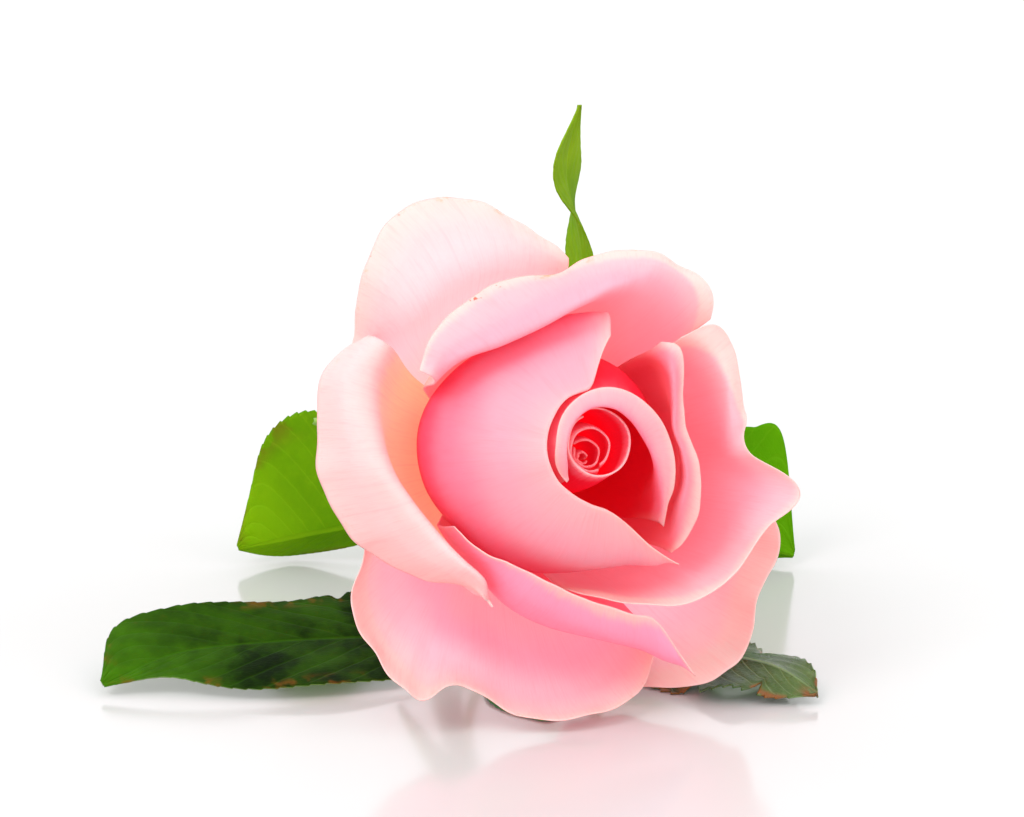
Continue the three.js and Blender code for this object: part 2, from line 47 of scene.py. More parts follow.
# ---------- the bloom's own directions
BLOOM_TURN, BLOOM_RISE, BLOOM_LIFT = math.radians(18), math.radians(17), 38
HIP_RADIUS, HIP_LENGTH, HIP_CROWN = 7.8, 14, 2.3
HIP_SIDES = 20
HIP_OUTLINE = [
    (0.9, 0), (1, -0.1), (0.86, -0.22), (0.84, -0.42), (0.74, -0.7), (0.46, -0.93), (0.42, -1),
]
AXIS = np.array([
    math.sin(BLOOM_TURN) * math.cos(BLOOM_RISE),
    -math.cos(BLOOM_TURN) * math.cos(BLOOM_RISE),
    math.sin(BLOOM_RISE),
])
BLOOM_RIGHT = np.array([math.cos(BLOOM_TURN), math.sin(BLOOM_TURN), 0])
BLOOM_UP = np.cross(AXIS, BLOOM_RIGHT)


def on_bloom(turn, radius, height):
    """Millimetres from the middle of the hip's rim.

    turn is degrees round the bloom's axis, radius the distance from it, height the way along it.
    """
    turn = np.radians(turn)
    return (
        np.multiply.outer(radius * np.cos(turn), BLOOM_RIGHT)
        + np.multiply.outer(radius * np.sin(turn), BLOOM_UP)
        + np.multiply.outer(height + 0 * turn, AXIS)
    )


def hip_ring(turn, radius, height):
    """One ring of the hip, its radius and height as shares of the hip's own."""
    return on_bloom(turn, 0 * turn + radius * HIP_RADIUS, 0 * turn + height * HIP_LENGTH)


def bloom_base():
    """Where the middle of the hip's rim is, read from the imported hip's box."""
    ring = np.arange(HIP_SIDES) * (360 / HIP_SIDES)
    hip = np.concatenate(
        [hip_ring(ring, r, h) for r, h in HIP_OUTLINE]
        + [AXIS[None] * HIP_CROWN, -AXIS[None] * HIP_LENGTH])
    return np.array(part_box("hip")[0]) / MM - hip.min(axis=0)


BASE = bloom_base()
TABLE = BASE - np.array([0, 0, BLOOM_LIFT])


# ---------- smooth sheets
def weights(t, count):
    """For places from 0 to 1 along count rows: the row before each, and the shares of four rows."""
    s = np.clip(t, 0, 1) * (count - 1)
    i = np.minimum(np.floor(s).astype(int), count - 2)
    f = s - i
    return i, [
        (-f + 2 * f**2 - f**3) / 2,
        (2 - 5 * f**2 + 3 * f**3) / 2,
        (f + 4 * f**2 - 3 * f**3) / 2,
        (-f**2 + f**3) / 2,
    ]


def ends(rows):
    """The rows with one more at each end, in line with the last two."""
    return np.concatenate([[2 * rows[0] - rows[1]], rows, [2 * rows[-1] - rows[-2]]])


def through(rows, t):
    """A smooth curve through rows of numbers, 0 at the first row and 1 at the last."""
    rows = np.array(rows, float)
    i, parts = weights(t, len(rows))
    rows = ends(rows)
    return sum(w[..., None] * rows[i + k] for k, w in enumerate(parts))


def through_net(net, u, v):
    """A smooth surface through a net of rows of numbers."""
    net = np.array(net, float)
    i, across = weights(u, net.shape[0])
    j, along = weights(v, net.shape[1])
    net = ends(net)
    net = ends(net.swapaxes(0, 1)).swapaxes(0, 1)
    return sum(
        (a * b)[..., None] * net[i + k, j + m]
        for k, a in enumerate(across)
        for m, b in enumerate(along)
    )


def facing(points):
    """Unit normals of a grid of points."""
    du = np.gradient(points, axis=0)
    dv = np.gradient(points, axis=1)
    normal = np.cross(du, dv)
    return normal / np.maximum(np.linalg.norm(normal, axis=-1, keepdims=True), 1e-9)


def grid(across, along):
    """Places across and along a sheet, 0 to 1, for so many steps each way."""
    return np.meshgrid(np.linspace(0, 1, across + 1), np.linspace(0, 1, along + 1), indexing="ij")


def smooth_mesh(name, points, faces, material):
    """A mesh of points in millimetres, shaded smooth all over."""
    mesh = bpy.data.meshes.new(name)
    mesh.from_pydata((points * MM).tolist(), [], faces)
    mesh.polygons.foreach_set("use_smooth", [True] * len(faces))
    mesh.materials.append(material)
    return mesh


def placed(name, data):
    """A new object in the scene, at the origin."""
    thing = bpy.data.objects.new(name, data)
    bpy.context.scene.collection.objects.link(thing)
    return thing


def thin_piece(name, points, thickness, material):
    """A closed sheet with its middle on a grid of points in millimetres.

    The UV map holds the grid's two directions.
    """
    normal = facing(points)
    thick = np.broadcast_to(thickness, points.shape[:2])[..., None] / 2
    outer = points + normal * thick
    inner = points - normal * thick
    rows, columns = points.shape[:2]
    u, v = grid(rows - 1, columns - 1)
    both = np.concatenate([outer.reshape(-1, 3), inner.reshape(-1, 3)])
    index = np.arange(rows * columns).reshape(rows, columns)
    a, b, c, d = index[:-1, :-1], index[1:, :-1], index[1:, 1:], index[:-1, 1:]
    front = np.stack([a, b, c, d], -1).reshape(-1, 4)
    shift = rows * columns
    back = front[:, ::-1] + shift
    rim = np.concatenate([index[0, :], index[1:, -1], index[-1, -2::-1], index[-2:0:-1, 0]])
    after = np.roll(rim, -1)
    edge = np.stack([rim, after, after + shift, rim + shift], -1)
    faces = np.concatenate([front, back, edge])
    mesh = smooth_mesh(name, both, faces.tolist(), material)
    uv = mesh.uv_layers.new(name="UVMap")
    flat = np.stack([u.ravel(), v.ravel()], -1)
    corner = np.concatenate([flat, flat])[faces.ravel()]
    uv.data.foreach_set("uv", corner.ravel())
    side = mesh.attributes.new("outer_face", "FLOAT", "POINT")
    side.data.foreach_set("value", np.repeat([1.0, 0.0], shift))
    piece(name, mesh)


def piece(name, mesh):
    """Puts a finished mesh in the scene in place of its CAD node."""
    thing = placed(name + "_look", mesh)
    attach(thing, "root")
    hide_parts(name)


# ---------- node trees written as sums
def paint(color):
    """A colour written as rrggbb, as the linear numbers a shader takes."""
    parts = [int(color[i:i + 2], 16) / 255 for i in (0, 2, 4)]
    linear = [p / 12.92 if p <= 0.04045 else ((p + 0.055) / 1.055) ** 2.4 for p in parts]
    return (*linear, 1.0)


class Wire:
    """A number, colour or geometry inside a node tree. Arithmetic on it adds Math nodes."""

    def __init__(self, tree, socket):
        self.tree = tree
        self.socket = socket

    def beside(self, key):
        """Another output of the same node."""
        return Wire(self.tree, self.socket.node.outputs[key])

    def math(self, operation, *parts):
        settings = {"operation": operation}
        return add_node(self.tree, "ShaderNodeMath", 0, settings, dict(enumerate(parts)))

    def __add__(self, other):
        return self.math("ADD", self, other)

    def __sub__(self, other):
        return self.math("SUBTRACT", self, other)

    def __rsub__(self, other):
        return self.math("SUBTRACT", other, self)

    def __mul__(self, other):
        return self.math("MULTIPLY", self, other)

    def __abs__(self):
        return self.math("ABSOLUTE", self)

    __radd__ = __add__
    __rmul__ = __mul__

    def fraction(self):
        return self.math("FRACT", self)

    def larger(self, other):
        return self.math("MAXIMUM", self, other)

    def rise(self, low, high):
        """0 up to low, 1 from high on, smooth between."""
        settings = {"interpolation_type": "SMOOTHSTEP"}
        inputs = {"Value": self, "From Min": low, "From Max": high}
        return add_node(self.tree, "ShaderNodeMapRange", 0, settings, inputs)


def feed(tree, slot, item):
    """Links a wire to a node's input, or sets the input to a plain value."""
    if isinstance(item, Wire):
        tree.links.new(item.socket, slot)
    else:
        slot.default_value = item


def lay_stops(ramp, stops):
    """Gives a colour ramp its stops; a new ramp already holds two."""
    ramp.interpolation = "EASE"
    for number, (place, color) in enumerate(stops):
        mark = ramp.elements[number] if number < 2 else ramp.elements.new(place)
        mark.position = place
        mark.color = color


def add_node(tree, kind, out=0, settings=None, inputs=None):
    """Any node of a tree: its settings first, then what goes into its inputs."""
    made = tree.nodes.new(kind)
    for key, value in (settings or {}).items():
        if key == "stops":
            lay_stops(made.color_ramp, value)
        else:
            setattr(made, key, value)
    for key, item in (inputs or {}).items():
        feed(tree, made.inputs[key], item)
    return Wire(tree, made.outputs[out]) if len(made.outputs) else None


class Finish:
    """One material being made."""

    def __init__(self, name):
        self.material = bpy.data.materials.new(name)
        self.material.use_nodes = True
        self.tree = self.material.node_tree
        self.shader = self.tree.nodes["Principled BSDF"]

    def node(self, *parts):
        return add_node(self.tree, *parts)

    def ramp(self, value, stops):
        colors = [(place, paint(color)) for place, color in stops]
        return self.node("ShaderNodeValToRGB", 0, {"stops": colors}, {"Fac": value})

    def across_and_along(self):
        uv = self.node("ShaderNodeTexCoord", "UV")
        split = self.node("ShaderNodeSeparateXYZ", 0, None, {0: uv})
        return split, split.beside(1)

    def here(self):
        return self.node("ShaderNodeTexCoord", "Object")

    def vector(self, x, y):
        return self.node("ShaderNodeCombineXYZ", 0, None, {0: x, 1: y})

    def noise(self, place, scale, detail, roughness=0.5):
        inputs = {"Vector": place, "Scale": scale, "Detail": detail, "Roughness": roughness}
        return self.node("ShaderNodeTexNoise", 0, None, inputs)

    def mix(self, share, first, second, how="MIX"):
        settings = {"data_type": "RGBA", "blend_type": how}
        return self.node("ShaderNodeMix", 2, settings, {0: share, 6: first, 7: second})

    def face(self):
        """1 on the outer face of a sheet, 0 on its inner face."""
        return self.node("ShaderNodeAttribute", "Fac", {"attribute_name": "outer_face"})

    def put(self, values):
        """Sets or links the shader's own inputs."""
        for key, item in values.items():
            feed(self.tree, self.shader.inputs[key], item)

    def bump(self, height, distance, strength):
        inputs = {"Height": height, "Distance": distance, "Strength": strength}
        self.put({"Normal": self.node("ShaderNodeBump", 0, None, inputs)})

    def let_light_through(self, share, color):
        """Mixes in light that comes through from behind, all of one colour."""
        through_light = self.node("ShaderNodeBsdfTranslucent", 0, None, {"Color": paint(color)})
        shine = Wire(self.tree, self.shader.outputs[0])
        both = self.node("ShaderNodeMixShader", 0, None, {0: share, 1: shine, 2: through_light})
        self.tree.links.new(both.socket, self.tree.nodes["Material Output"].inputs["Surface"])


# ---------- petal finish
# Clouds, blotches, flecks and grain are so many to the metre. Fibres and hairs are so many to
# the petal's width and to its length.
CLOUDS, BLOTCHES, FLECKS, GRAIN = 70.0, 230.0, 620.0, 1500.0
FIBRES, HAIRS = (64.0, 2.4), (230.0, 9.0)
CLOUD_SHIFT, FIBRE_SHIFT = 0.12, 0.07
EDGE_PALE, SIDE_PALE = 0.3, 0.3
# The white share of the painted glow, and the black where there is no glow.
PAINTED_GLOW_WHITE, NO_LIGHT = "d4e0f4", "000000"


def petal_finish(name, inner, outer, painted_glow, seed, slide=((0, 0.5), (1, 0.5)), marks=0.0,
                 glow=0.45, behind="ffb4b8", painted_glow_white=0.55, dim_from=0.95, gloss=0.2):
    """A petal's two faces, with fibres that run up it and a paler edge.

    inner and outer are colour stops from the claw, 0, to the edge, 1, for the face that looks
    at the heart and the face that looks away. slide moves them along the petal, by the place
    across it: 0.5 leaves them where they are, less is deeper in colour and more is paler. The
    deep reds and pinks low on a petal, and where slide deepens them, are partly the rose's own
    colour and partly painted shade of the hollows between the petals.
    marks is the strength of the brown marks near the edge. glow is the share of light that
    comes through from behind, and behind is its colour. painted_glow is the strength of a
    painted glow, an emission that lightens the shade between the petals in place of the light
    that bounces about between them, and painted_glow_white is how much of that glow is white;
    it has all gone by dim_from along the petal. gloss is how strongly the surface shines.
    """
    made = Finish(name)
    across, along = made.across_and_along()
    here = made.here()
    cloud = made.noise(here, CLOUDS, 3.0)
    fibre = made.noise(made.vector(across * FIBRES[0] + seed, along * FIBRES[1]), 1.0, 3.0, 0.6)
    hair = made.noise(made.vector(across * HAIRS[0] + seed, along * HAIRS[1]), 1.0, 2.0, 0.5)
    grain = made.noise(here, GRAIN, 2.0, 0.6)
    greys = [(place, (grey, grey, grey, 1.0)) for place, grey in slide]
    slid = made.node("ShaderNodeValToRGB", 0, {"stops": greys}, {"Fac": across})
    moved = made.node("ShaderNodeRGBToBW", 0, None, {0: slid})
    place = along + (moved - 0.5) + (cloud - 0.5) * CLOUD_SHIFT + (fibre - 0.5) * FIBRE_SHIFT
    edge = along.rise(0.975, 1.0)
    side = abs(across * 2.0 - 1.0).rise(0.9, 1.0) * along.rise(0.45, 0.75) * SIDE_PALE
    color = made.mix(made.face(), made.ramp(place, inner), made.ramp(place, outer))
    color = made.mix(fibre.rise(0.48, 0.72) * 0.28, color, paint("ffd6dc"), "MULTIPLY")
    color = made.mix(hair.rise(0.5, 0.7) * 0.22, color, paint("ffd8de"), "MULTIPLY")
    color = made.mix((edge * EDGE_PALE).larger(side), color, paint(inner[-1][1]))
    if marks:
        blotch = made.noise(here, BLOTCHES, 4.0, 0.7).rise(0.57, 0.72)
        color = made.mix(blotch * along.rise(0.9, 0.985) * marks, color, paint("e0b070"))
        fleck = made.noise(here, FLECKS, 2.0, 0.6).rise(0.66, 0.72)
        color = made.mix(fleck * along.rise(0.93, 0.995) * marks, color, paint("9a5c2c"))
    # Painted glow: the petal's colour, partly whitened, given off as light that lightens the shade
    # between the petals.
    painted_glow_color = made.mix(painted_glow_white, color, paint(PAINTED_GLOW_WHITE))
    made.put({
        "Base Color": color,
        "Roughness": 0.52 + (fibre - 0.5) * 0.25,
        "Specular IOR Level": gloss,
        "Subsurface Weight": 0.25,
        "Subsurface Radius": (1.0, 0.4, 0.35),
        "Subsurface Scale": 0.001,
        # The painted glow is strongest low on the petal and has gone by dim_from.
        "Emission Color": made.mix(along.rise(0.4, dim_from), painted_glow_color, paint(NO_LIGHT)),
        "Emission Strength": painted_glow,
    })
    made.bump(fibre * 0.6 + hair * 0.3 + grain * 0.1, 0.00022, 0.6)
    made.let_light_through(glow, behind)
    return made.material


# ---------- petals
# Each rib is [degrees round the bloom, then (distance, height) pairs from low on the petal to
# its edge]. seat is where the claw stands on the hip: (degrees, distance, half width in
# degrees). corner is how far the edge drops at its two corners, as a share of the petal's
# height, and ripple the size of its waves in millimetres.
PETALS = {
    "upper_left_petal": dict(seat=(116, 5.7, 22), corner=0.08, ripple=0.35, ribs=[
        [153, (16, 4), (29, 13), (34, 18), (36, 19), (38, 16)],
        [143, (16, 4), (30, 14), (36, 20), (38, 21), (40, 18)],
        [131, (15, 5), (29, 16), (35, 26), (42, 28), (46.5, 24)],
        [117, (15, 5), (29, 16), (36, 26), (44, 27), (50, 22)],
        [105, (15, 5), (29, 16), (35, 26), (42, 27), (48, 22)],
        [93, (15, 5), (28, 16), (33, 25), (37, 27), (41, 24)],
        [80, (15, 5), (26, 14), (30, 22), (33, 25), (36, 25)],
    ]),
    "left_petal": dict(seat=(189, 5.7, 24), corner=0.04, ripple=0.3, ribs=[
        [143, (15, 6), (27.5, 17), (34.5, 27), (38, 27.5), (39.5, 24.5)],
        [155, (15, 6), (28, 18), (34.7, 28), (40, 27.5), (43, 21)],
        [167, (17, 6), (27.5, 17), (33, 30), (38.5, 29.5), (41.5, 20)],
        [179, (17, 6), (27, 17), (31.2, 32), (36.5, 31), (41, 20)],
        [191, (17, 6), (26.5, 17), (29, 33.5), (34.3, 31), (39, 21)],
        [203, (17, 6), (26, 17), (27.4, 34.6), (32, 32), (36, 22)],
        [216, (17, 6), (26, 17), (26.5, 35.6), (29.5, 34.8), (32, 26)],
        [228, (17, 6), (26, 17), (26, 34), (28, 34), (28, 31)],
        [237, (17, 6), (26, 16), (27, 27), (29, 32), (29, 34)],
    ]),
    "bottom_petal": dict(seat=(249, 6.2, 22), corner=0.04, ripple=0.5, ribs=[
        [200, (17, 2.6), (26, 8), (31, 12), (34, 15), (36, 18)],
        [211, (17, 2.6), (28, 8), (36, 13), (40, 17), (43, 21)],
        [222, (17, 2.6), (29, 8), (38, 13), (43, 17), (46, 22)],
        [233, (17, 2.6), (29, 8), (38, 14), (44, 19), (48, 25)],
        [243, (17, 2.6), (28, 8.6), (35, 16), (40, 20), (42, 24)],
        [256, (17, 2.6), (28, 8.6), (36, 16), (42, 21), (45, 26)],
        [270, (17, 2.6), (28, 8.6), (37, 16), (43, 22), (46, 27)],
        [284, (17, 2.6), (28, 8.6), (36, 15), (41, 21), (44, 25)],
        [296, (16, 2.8), (25, 8), (31, 12), (36, 16), (40, 21)],
    ]),
    "lower_cup_petal": dict(seat=(254, 5.1, 22), corner=0, ripple=0.15, ribs=[
        [206, (14, 8), (21.5, 17), (23, 23), (23.2, 28), (23.2, 32)],
        [217, (14.5, 8), (22, 17), (23.4, 26), (23.6, 32), (23.6, 37)],
        [230, (15, 7.5), (22.5, 17), (24, 28), (24, 34), (22.5, 39)],
        [245, (15.5, 7), (24, 17), (27, 27), (26, 34), (22, 40)],
        [260, (16, 6.5), (25, 17), (29, 27), (28, 34), (23.5, 40)],
        [274, (16.5, 6.3), (26, 17), (31, 27), (31, 34), (26, 39.5)],
        [286, (16.5, 6), (27, 16), (34, 26), (35, 32), (29.3, 38)],
        [293, (16.5, 6), (28, 15), (37, 24), (40, 31), (33, 36)],
        [297, (16.5, 6), (29, 14), (38, 22), (43, 28), (45, 30)],
    ]),
    "lower_right_petal": dict(seat=(312, 6.7, 22), corner=0.04, ripple=0.4, ribs=[
        [276, (15, 1), (25, 4), (31, 7), (36, 9), (39, 12)],
        [288, (17, 1), (27, 5), (34, 9), (40, 12), (44, 16)],
        [300, (17, 2), (29, 8), (37, 13), (43, 18), (48, 24)],
        [312, (18, 3), (30, 9), (38, 14), (44, 20), (48.5, 25)],
        [324, (18, 3), (29, 9), (36, 14), (41, 20), (45, 24)],
        [336, (17, 2.6), (28, 8.6), (35, 14), (40, 19), (45, 24)],
        [347, (16, 3), (25, 8), (31, 12), (36, 17), (41, 20)],
    ]),
    "right_petal": dict(seat=(-30, 4.7, 32), corner=0, ripple=0.2, ribs=[
        [41, (12.8, 7), (20.4, 16), (23.8, 26), (27, 34.6), (29.6, 36.8)],
        [36, (13.3, 6.8), (21.4, 15.8), (25.6, 26), (29.8, 34.8), (34.6, 35.6)],
        [28, (14, 6.4), (22.4, 15.4), (27, 25), (31, 34.2), (35.8, 33.8)],
        [19, (15, 6), (23, 15), (28, 24), (31, 34), (34.6, 32.5)],
        [8, (15, 6), (23, 15), (27, 24), (30, 33.5), (33.4, 31.5)],
        [-4, (15, 6), (23, 15), (28, 24), (30, 31), (33, 34)],
        [-13, (15, 6), (23, 14), (29, 23), (36, 30), (43.5, 32)],
        [-24, (15, 6), (23, 14), (29, 23), (34, 31), (38, 35)],
        [-40, (15, 6), (23, 14), (28, 24), (32, 32), (35.5, 37.5)],
        [-56, (13, 7), (22, 14), (26, 24), (29, 32), (32.5, 38)],
        [-70, (12, 7.3), (20, 14), (24, 24), (26.5, 32), (28.2, 37.5)],
        [-83, (12, 7.5), (19, 14), (22.3, 24), (23.8, 32), (24.8, 37)],
        [-95, (12, 7.8), (17.8, 13.5), (21, 22), (22.5, 28), (23, 33)],
    ]),
    "hood_petal": dict(seat=(96, 4.5, 34), corner=0.04, ripple=0.25, ribs=[
        [148, (13, 8), (25, 22), (26.6, 33), (28.5, 37.5), (31.5, 37)],
        [138, (13, 8), (25.2, 22), (26, 38), (28.6, 39), (32, 36)],
        [122, (14, 7), (25.4, 22), (23, 40.5), (26.6, 41), (32, 35)],
        [103, (14, 7), (25.4, 22), (22.6, 42), (27, 41.5), (32, 34)],
        [86, (14, 7), (25.4, 22), (25, 42), (29, 40), (31.5, 34)],
        [72, (14, 7), (24.8, 20), (28.5, 40), (32.5, 38.5), (36, 34.5)],
        [58, (14, 7), (24, 20), (31, 34), (36, 36.5), (39, 34)],
        [46, (14, 7), (24.6, 18), (31, 30), (36, 34), (39.5, 34)],
        [37, (15, 6.6), (24.4, 17), (30, 26), (34, 31), (38, 34)],
    ]),
    "inner_right_petal": dict(seat=(0, 3.9, 34), corner=0, ripple=0.1, ribs=[
        [46, (11, 8), (18, 17), (22, 27), (24, 35), (27, 38)],
        [38, (12, 8), (19, 18), (23, 28), (21.5, 40.5), (26, 38)],
        [25, (12, 8), (19, 18), (22, 28), (18.5, 41.5), (21.5, 39.5)],
        [10, (12, 8), (19, 18), (22, 28), (16.3, 42.5), (19.8, 39.5)],
        [-5, (12, 8), (18, 18), (21.5, 28), (17, 43), (20.8, 40)],
        [-18, (12, 8), (18, 18), (21, 28), (18, 43), (22.3, 39.5)],
        [-32, (12, 8), (18, 18), (21, 28), (18.8, 42), (24, 38.5)],
        [-43, (12, 8), (18, 17), (21, 26), (21.5, 37.5), (24.5, 37)],
        [-48, (12, 8), (17.5, 16), (21, 24), (23, 32), (24.5, 35)],
    ]),
    "heart_wrap_petal": dict(seat=(190, 3.9, 50), corner=0, ripple=0.1, ribs=[
        [70, (11, 9), (19.6, 20), (25.2, 34), (21.6, 39.8), (14.5, 43.6)],
        [86, (11, 9), (19.6, 20), (23.9, 33), (19.8, 40), (10.8, 46.6)],
        [112, (11, 9), (20, 20), (22.4, 32), (18.3, 40.5), (10.2, 47.4)],
        [135, (12, 9), (21.6, 20), (23, 30), (18.6, 39.5), (9.5, 48)],
        [160, (13, 9), (23, 20), (23.4, 28), (18.2, 40), (8.8, 48)],
        [185, (13, 9), (22, 20), (23, 29), (16.5, 41), (8.3, 48)],
        [210, (13, 9), (20, 20), (21, 29), (16, 40), (8, 47.5)],
        [235, (11.5, 9), (19.5, 20), (20.5, 29), (16.5, 39), (8, 47.5)],
        [258, (9.5, 9.5), (18.5, 20), (20, 29), (17.5, 39), (8.7, 47.5)],
        [278, (9.5, 9.5), (17.5, 20), (20, 30), (18.5, 39), (9.8, 47)],
        [292, (9.5, 9.5), (17, 20), (21, 30), (20, 39), (13, 45.5)],
        [302, (9.5, 9.5), (17, 19), (22, 29), (23.5, 37), (20, 42.5)],
        [309, (9.5, 9.5), (17, 18), (22.5, 27), (25, 34), (26.2, 38)],
    ]),
    "ring_petal": dict(seat=(75, 3.3, 56), corner=0, ripple=0.05, ribs=[
        [222, (8, 10), (11, 24), (9, 38), (6.2, 45), (6.8, 46.5)],
        [195, (8, 10), (12, 24), (10, 38), (5.7, 48), (7, 47)],
        [160, (8, 10), (14, 24), (12, 38), (6, 49), (7.3, 48.4)],
        [125, (9, 10), (15, 24), (13, 38), (6.8, 49.6), (8.9, 48.8)],
        [95, (9.5, 10), (17, 24), (15, 38), (7.6, 50), (10.2, 48.8)],
        [65, (10, 9), (18, 24), (16, 38), (7.8, 50), (11.5, 48)],
        [38, (10, 9), (18, 24), (16, 37), (7.8, 49.6), (12.5, 47)],
        [12, (10, 9), (18, 24), (15, 37), (8.4, 49), (14, 45.5)],
        [-10, (10, 9), (17, 24), (14.5, 37), (10.2, 48), (15.3, 44.6)],
        [-26, (10, 9), (16, 24), (14.5, 36), (12.4, 46.5), (16.3, 43.8)],
        [-36, (10, 9), (16, 23), (15.5, 35), (15, 44), (17.2, 42)],
        [-44, (10, 9), (16, 22), (17, 32), (18, 38.5), (19.5, 39)],
    ]),
    "back_right_petal": dict(seat=(28, 5.7, 22), corner=0.12, ripple=0.3, ribs=[
        [62, (15, 3), (22, 7), (26, 10), (29, 12), (31, 12)],
        [45, (16, 3), (25, 8), (31, 12), (35, 13), (37, 11)],
        [28, (17, 2.6), (27, 7.5), (33, 11.5), (37, 12.5), (38, 10)],
        [11, (17, 2.6), (27, 7.5), (33, 11.5), (37, 12.5), (38, 10)],
        [-6, (15, 3), (23, 7), (28, 10), (31, 12), (33, 11)],
    ]),
    "back_top_petal": dict(seat=(100, 7, 20), corner=0.12, ripple=0.3, ribs=[
        [136, (15, 1.5), (23, 4), (28, 5), (31, 4), (33, 2)],
        [118, (17, 1.5), (27, 5), (33, 7), (38, 6), (41, 2)],
        [100, (17, 1.5), (27, 5), (33, 7), (38, 6), (41, 2)],
        [82, (17, 1.5), (26, 5), (31, 7), (35, 6), (38, 3)],
        [66, (15, 1.5), (22, 4), (26, 5), (29, 5), (31, 3)],
    ]),
    "back_left_petal": dict(seat=(174, 7, 20), corner=0.12, ripple=0.3, ribs=[
        [206, (14, 0.8), (20, 2), (24, 3), (26, 3), (27, 2)],
        [192, (16, 1), (24, 4), (28, 5), (31, 5), (32, 3)],
        [176, (16, 1.5), (25, 5), (29, 7), (32, 6), (33, 3)],
        [160, (16, 1.5), (25, 5), (29, 7), (32, 6), (33, 3)],
        [147, (15, 1.5), (21, 4), (25, 5), (27, 5), (28, 3)],
    ]),
}


PETAL_THICK, PETAL_THINNING, CLAW_GAP = 0.42, 0.24, 0.45
# The waves of an edge: (how many across the petal, size).
WAVES = [(2.6, 1.0), (5.3, 0.6), (9.7, 0.35)]

# Folds that run up a petal: (place across it, width, depth in millimetres, where it starts).
CREASES = {
    "bottom_petal": [(0.4, 0.035, 1.5, 0.35), (0.72, 0.06, -0.7, 0.5)],
    "upper_left_petal": [(0.3, 0.05, 0.6, 0.5), (0.72, 0.05, 0.9, 0.55)],
    "right_petal": [(0.36, 0.03, 1.2, 0.6), (0.62, 0.05, 0.6, 0.6)],
    "hood_petal": [(0.55, 0.04, 0.5, 0.75), (0.8, 0.04, -0.7, 0.7)],
    "left_petal": [(0.16, 0.05, 0.8, 0.6), (0.5, 0.08, 0.4, 0.6)],
    "lower_cup_petal": [(0.8, 0.04, -0.5, 0.6)],
    "lower_right_petal": [(0.45, 0.05, 0.8, 0.5)],
}


# Corners worn round: (side of the petal, how far in from it, share of the height that goes).
ROUNDED = {
    "heart_wrap_petal": (0, 0.1, 0.17),
    "right_petal": (0, 0.09, 0.1),
    "inner_right_petal": (0, 0.12, 0.12),
    "hood_petal": (1, 0.1, 0.08),
}


def seat_height(radius):
    """How high over the hip's rim a claw stands, at a distance from the axis."""
    return CLAW_GAP + HIP_CROWN * (1 - radius / (HIP_OUTLINE[0][0] * HIP_RADIUS))


def petal_points(name, spec, across=120, along=84):
    turn, radius, half = spec["seat"]
    ribs = spec["ribs"]
    first, last = ribs[0][0], ribs[-1][0]
    net = []
    for rib in ribs:
        part = (2 * rib[0] - first - last) / abs(last - first)
        seat = (turn + part * half, radius, seat_height(radius))
        net.append([seat] + [(rib[0], r, h) for r, h in rib[1:]])
    u, v = grid(across, along)
    side, reach, drop = ROUNDED.get(name, (0, 1, 0))
    worn = drop * np.clip(1 - np.abs(u - side) / reach, 0, 1) ** 2
    height = v * (1 - spec["corner"] * np.abs(2 * u - 1) ** 5) * (1 - worn)
    place = through_net(net, u, height)
    points = BASE + on_bloom(place[..., 0], place[..., 1], place[..., 2])
    phase = first * 0.37
    wave = sum(
        size * np.sin(2 * np.pi * count * u + number * phase)
        for number, (count, size) in enumerate(WAVES, 1))
    dents = 0.12 * np.sin(9 * u + 5 * v + phase) * np.sin(7 * v - 4 * u)
    lift = spec["ripple"] * wave * v**6 + dents * np.sin(np.pi * v)
    for middle, width, depth, start in CREASES.get(name, ()):
        valley = np.exp(-(((u - middle) / width) ** 2))
        lift = lift + depth * valley * np.clip((v - start) / (1 - start), 0, 1) ** 1.5
    return points + facing(points) * lift[..., None]


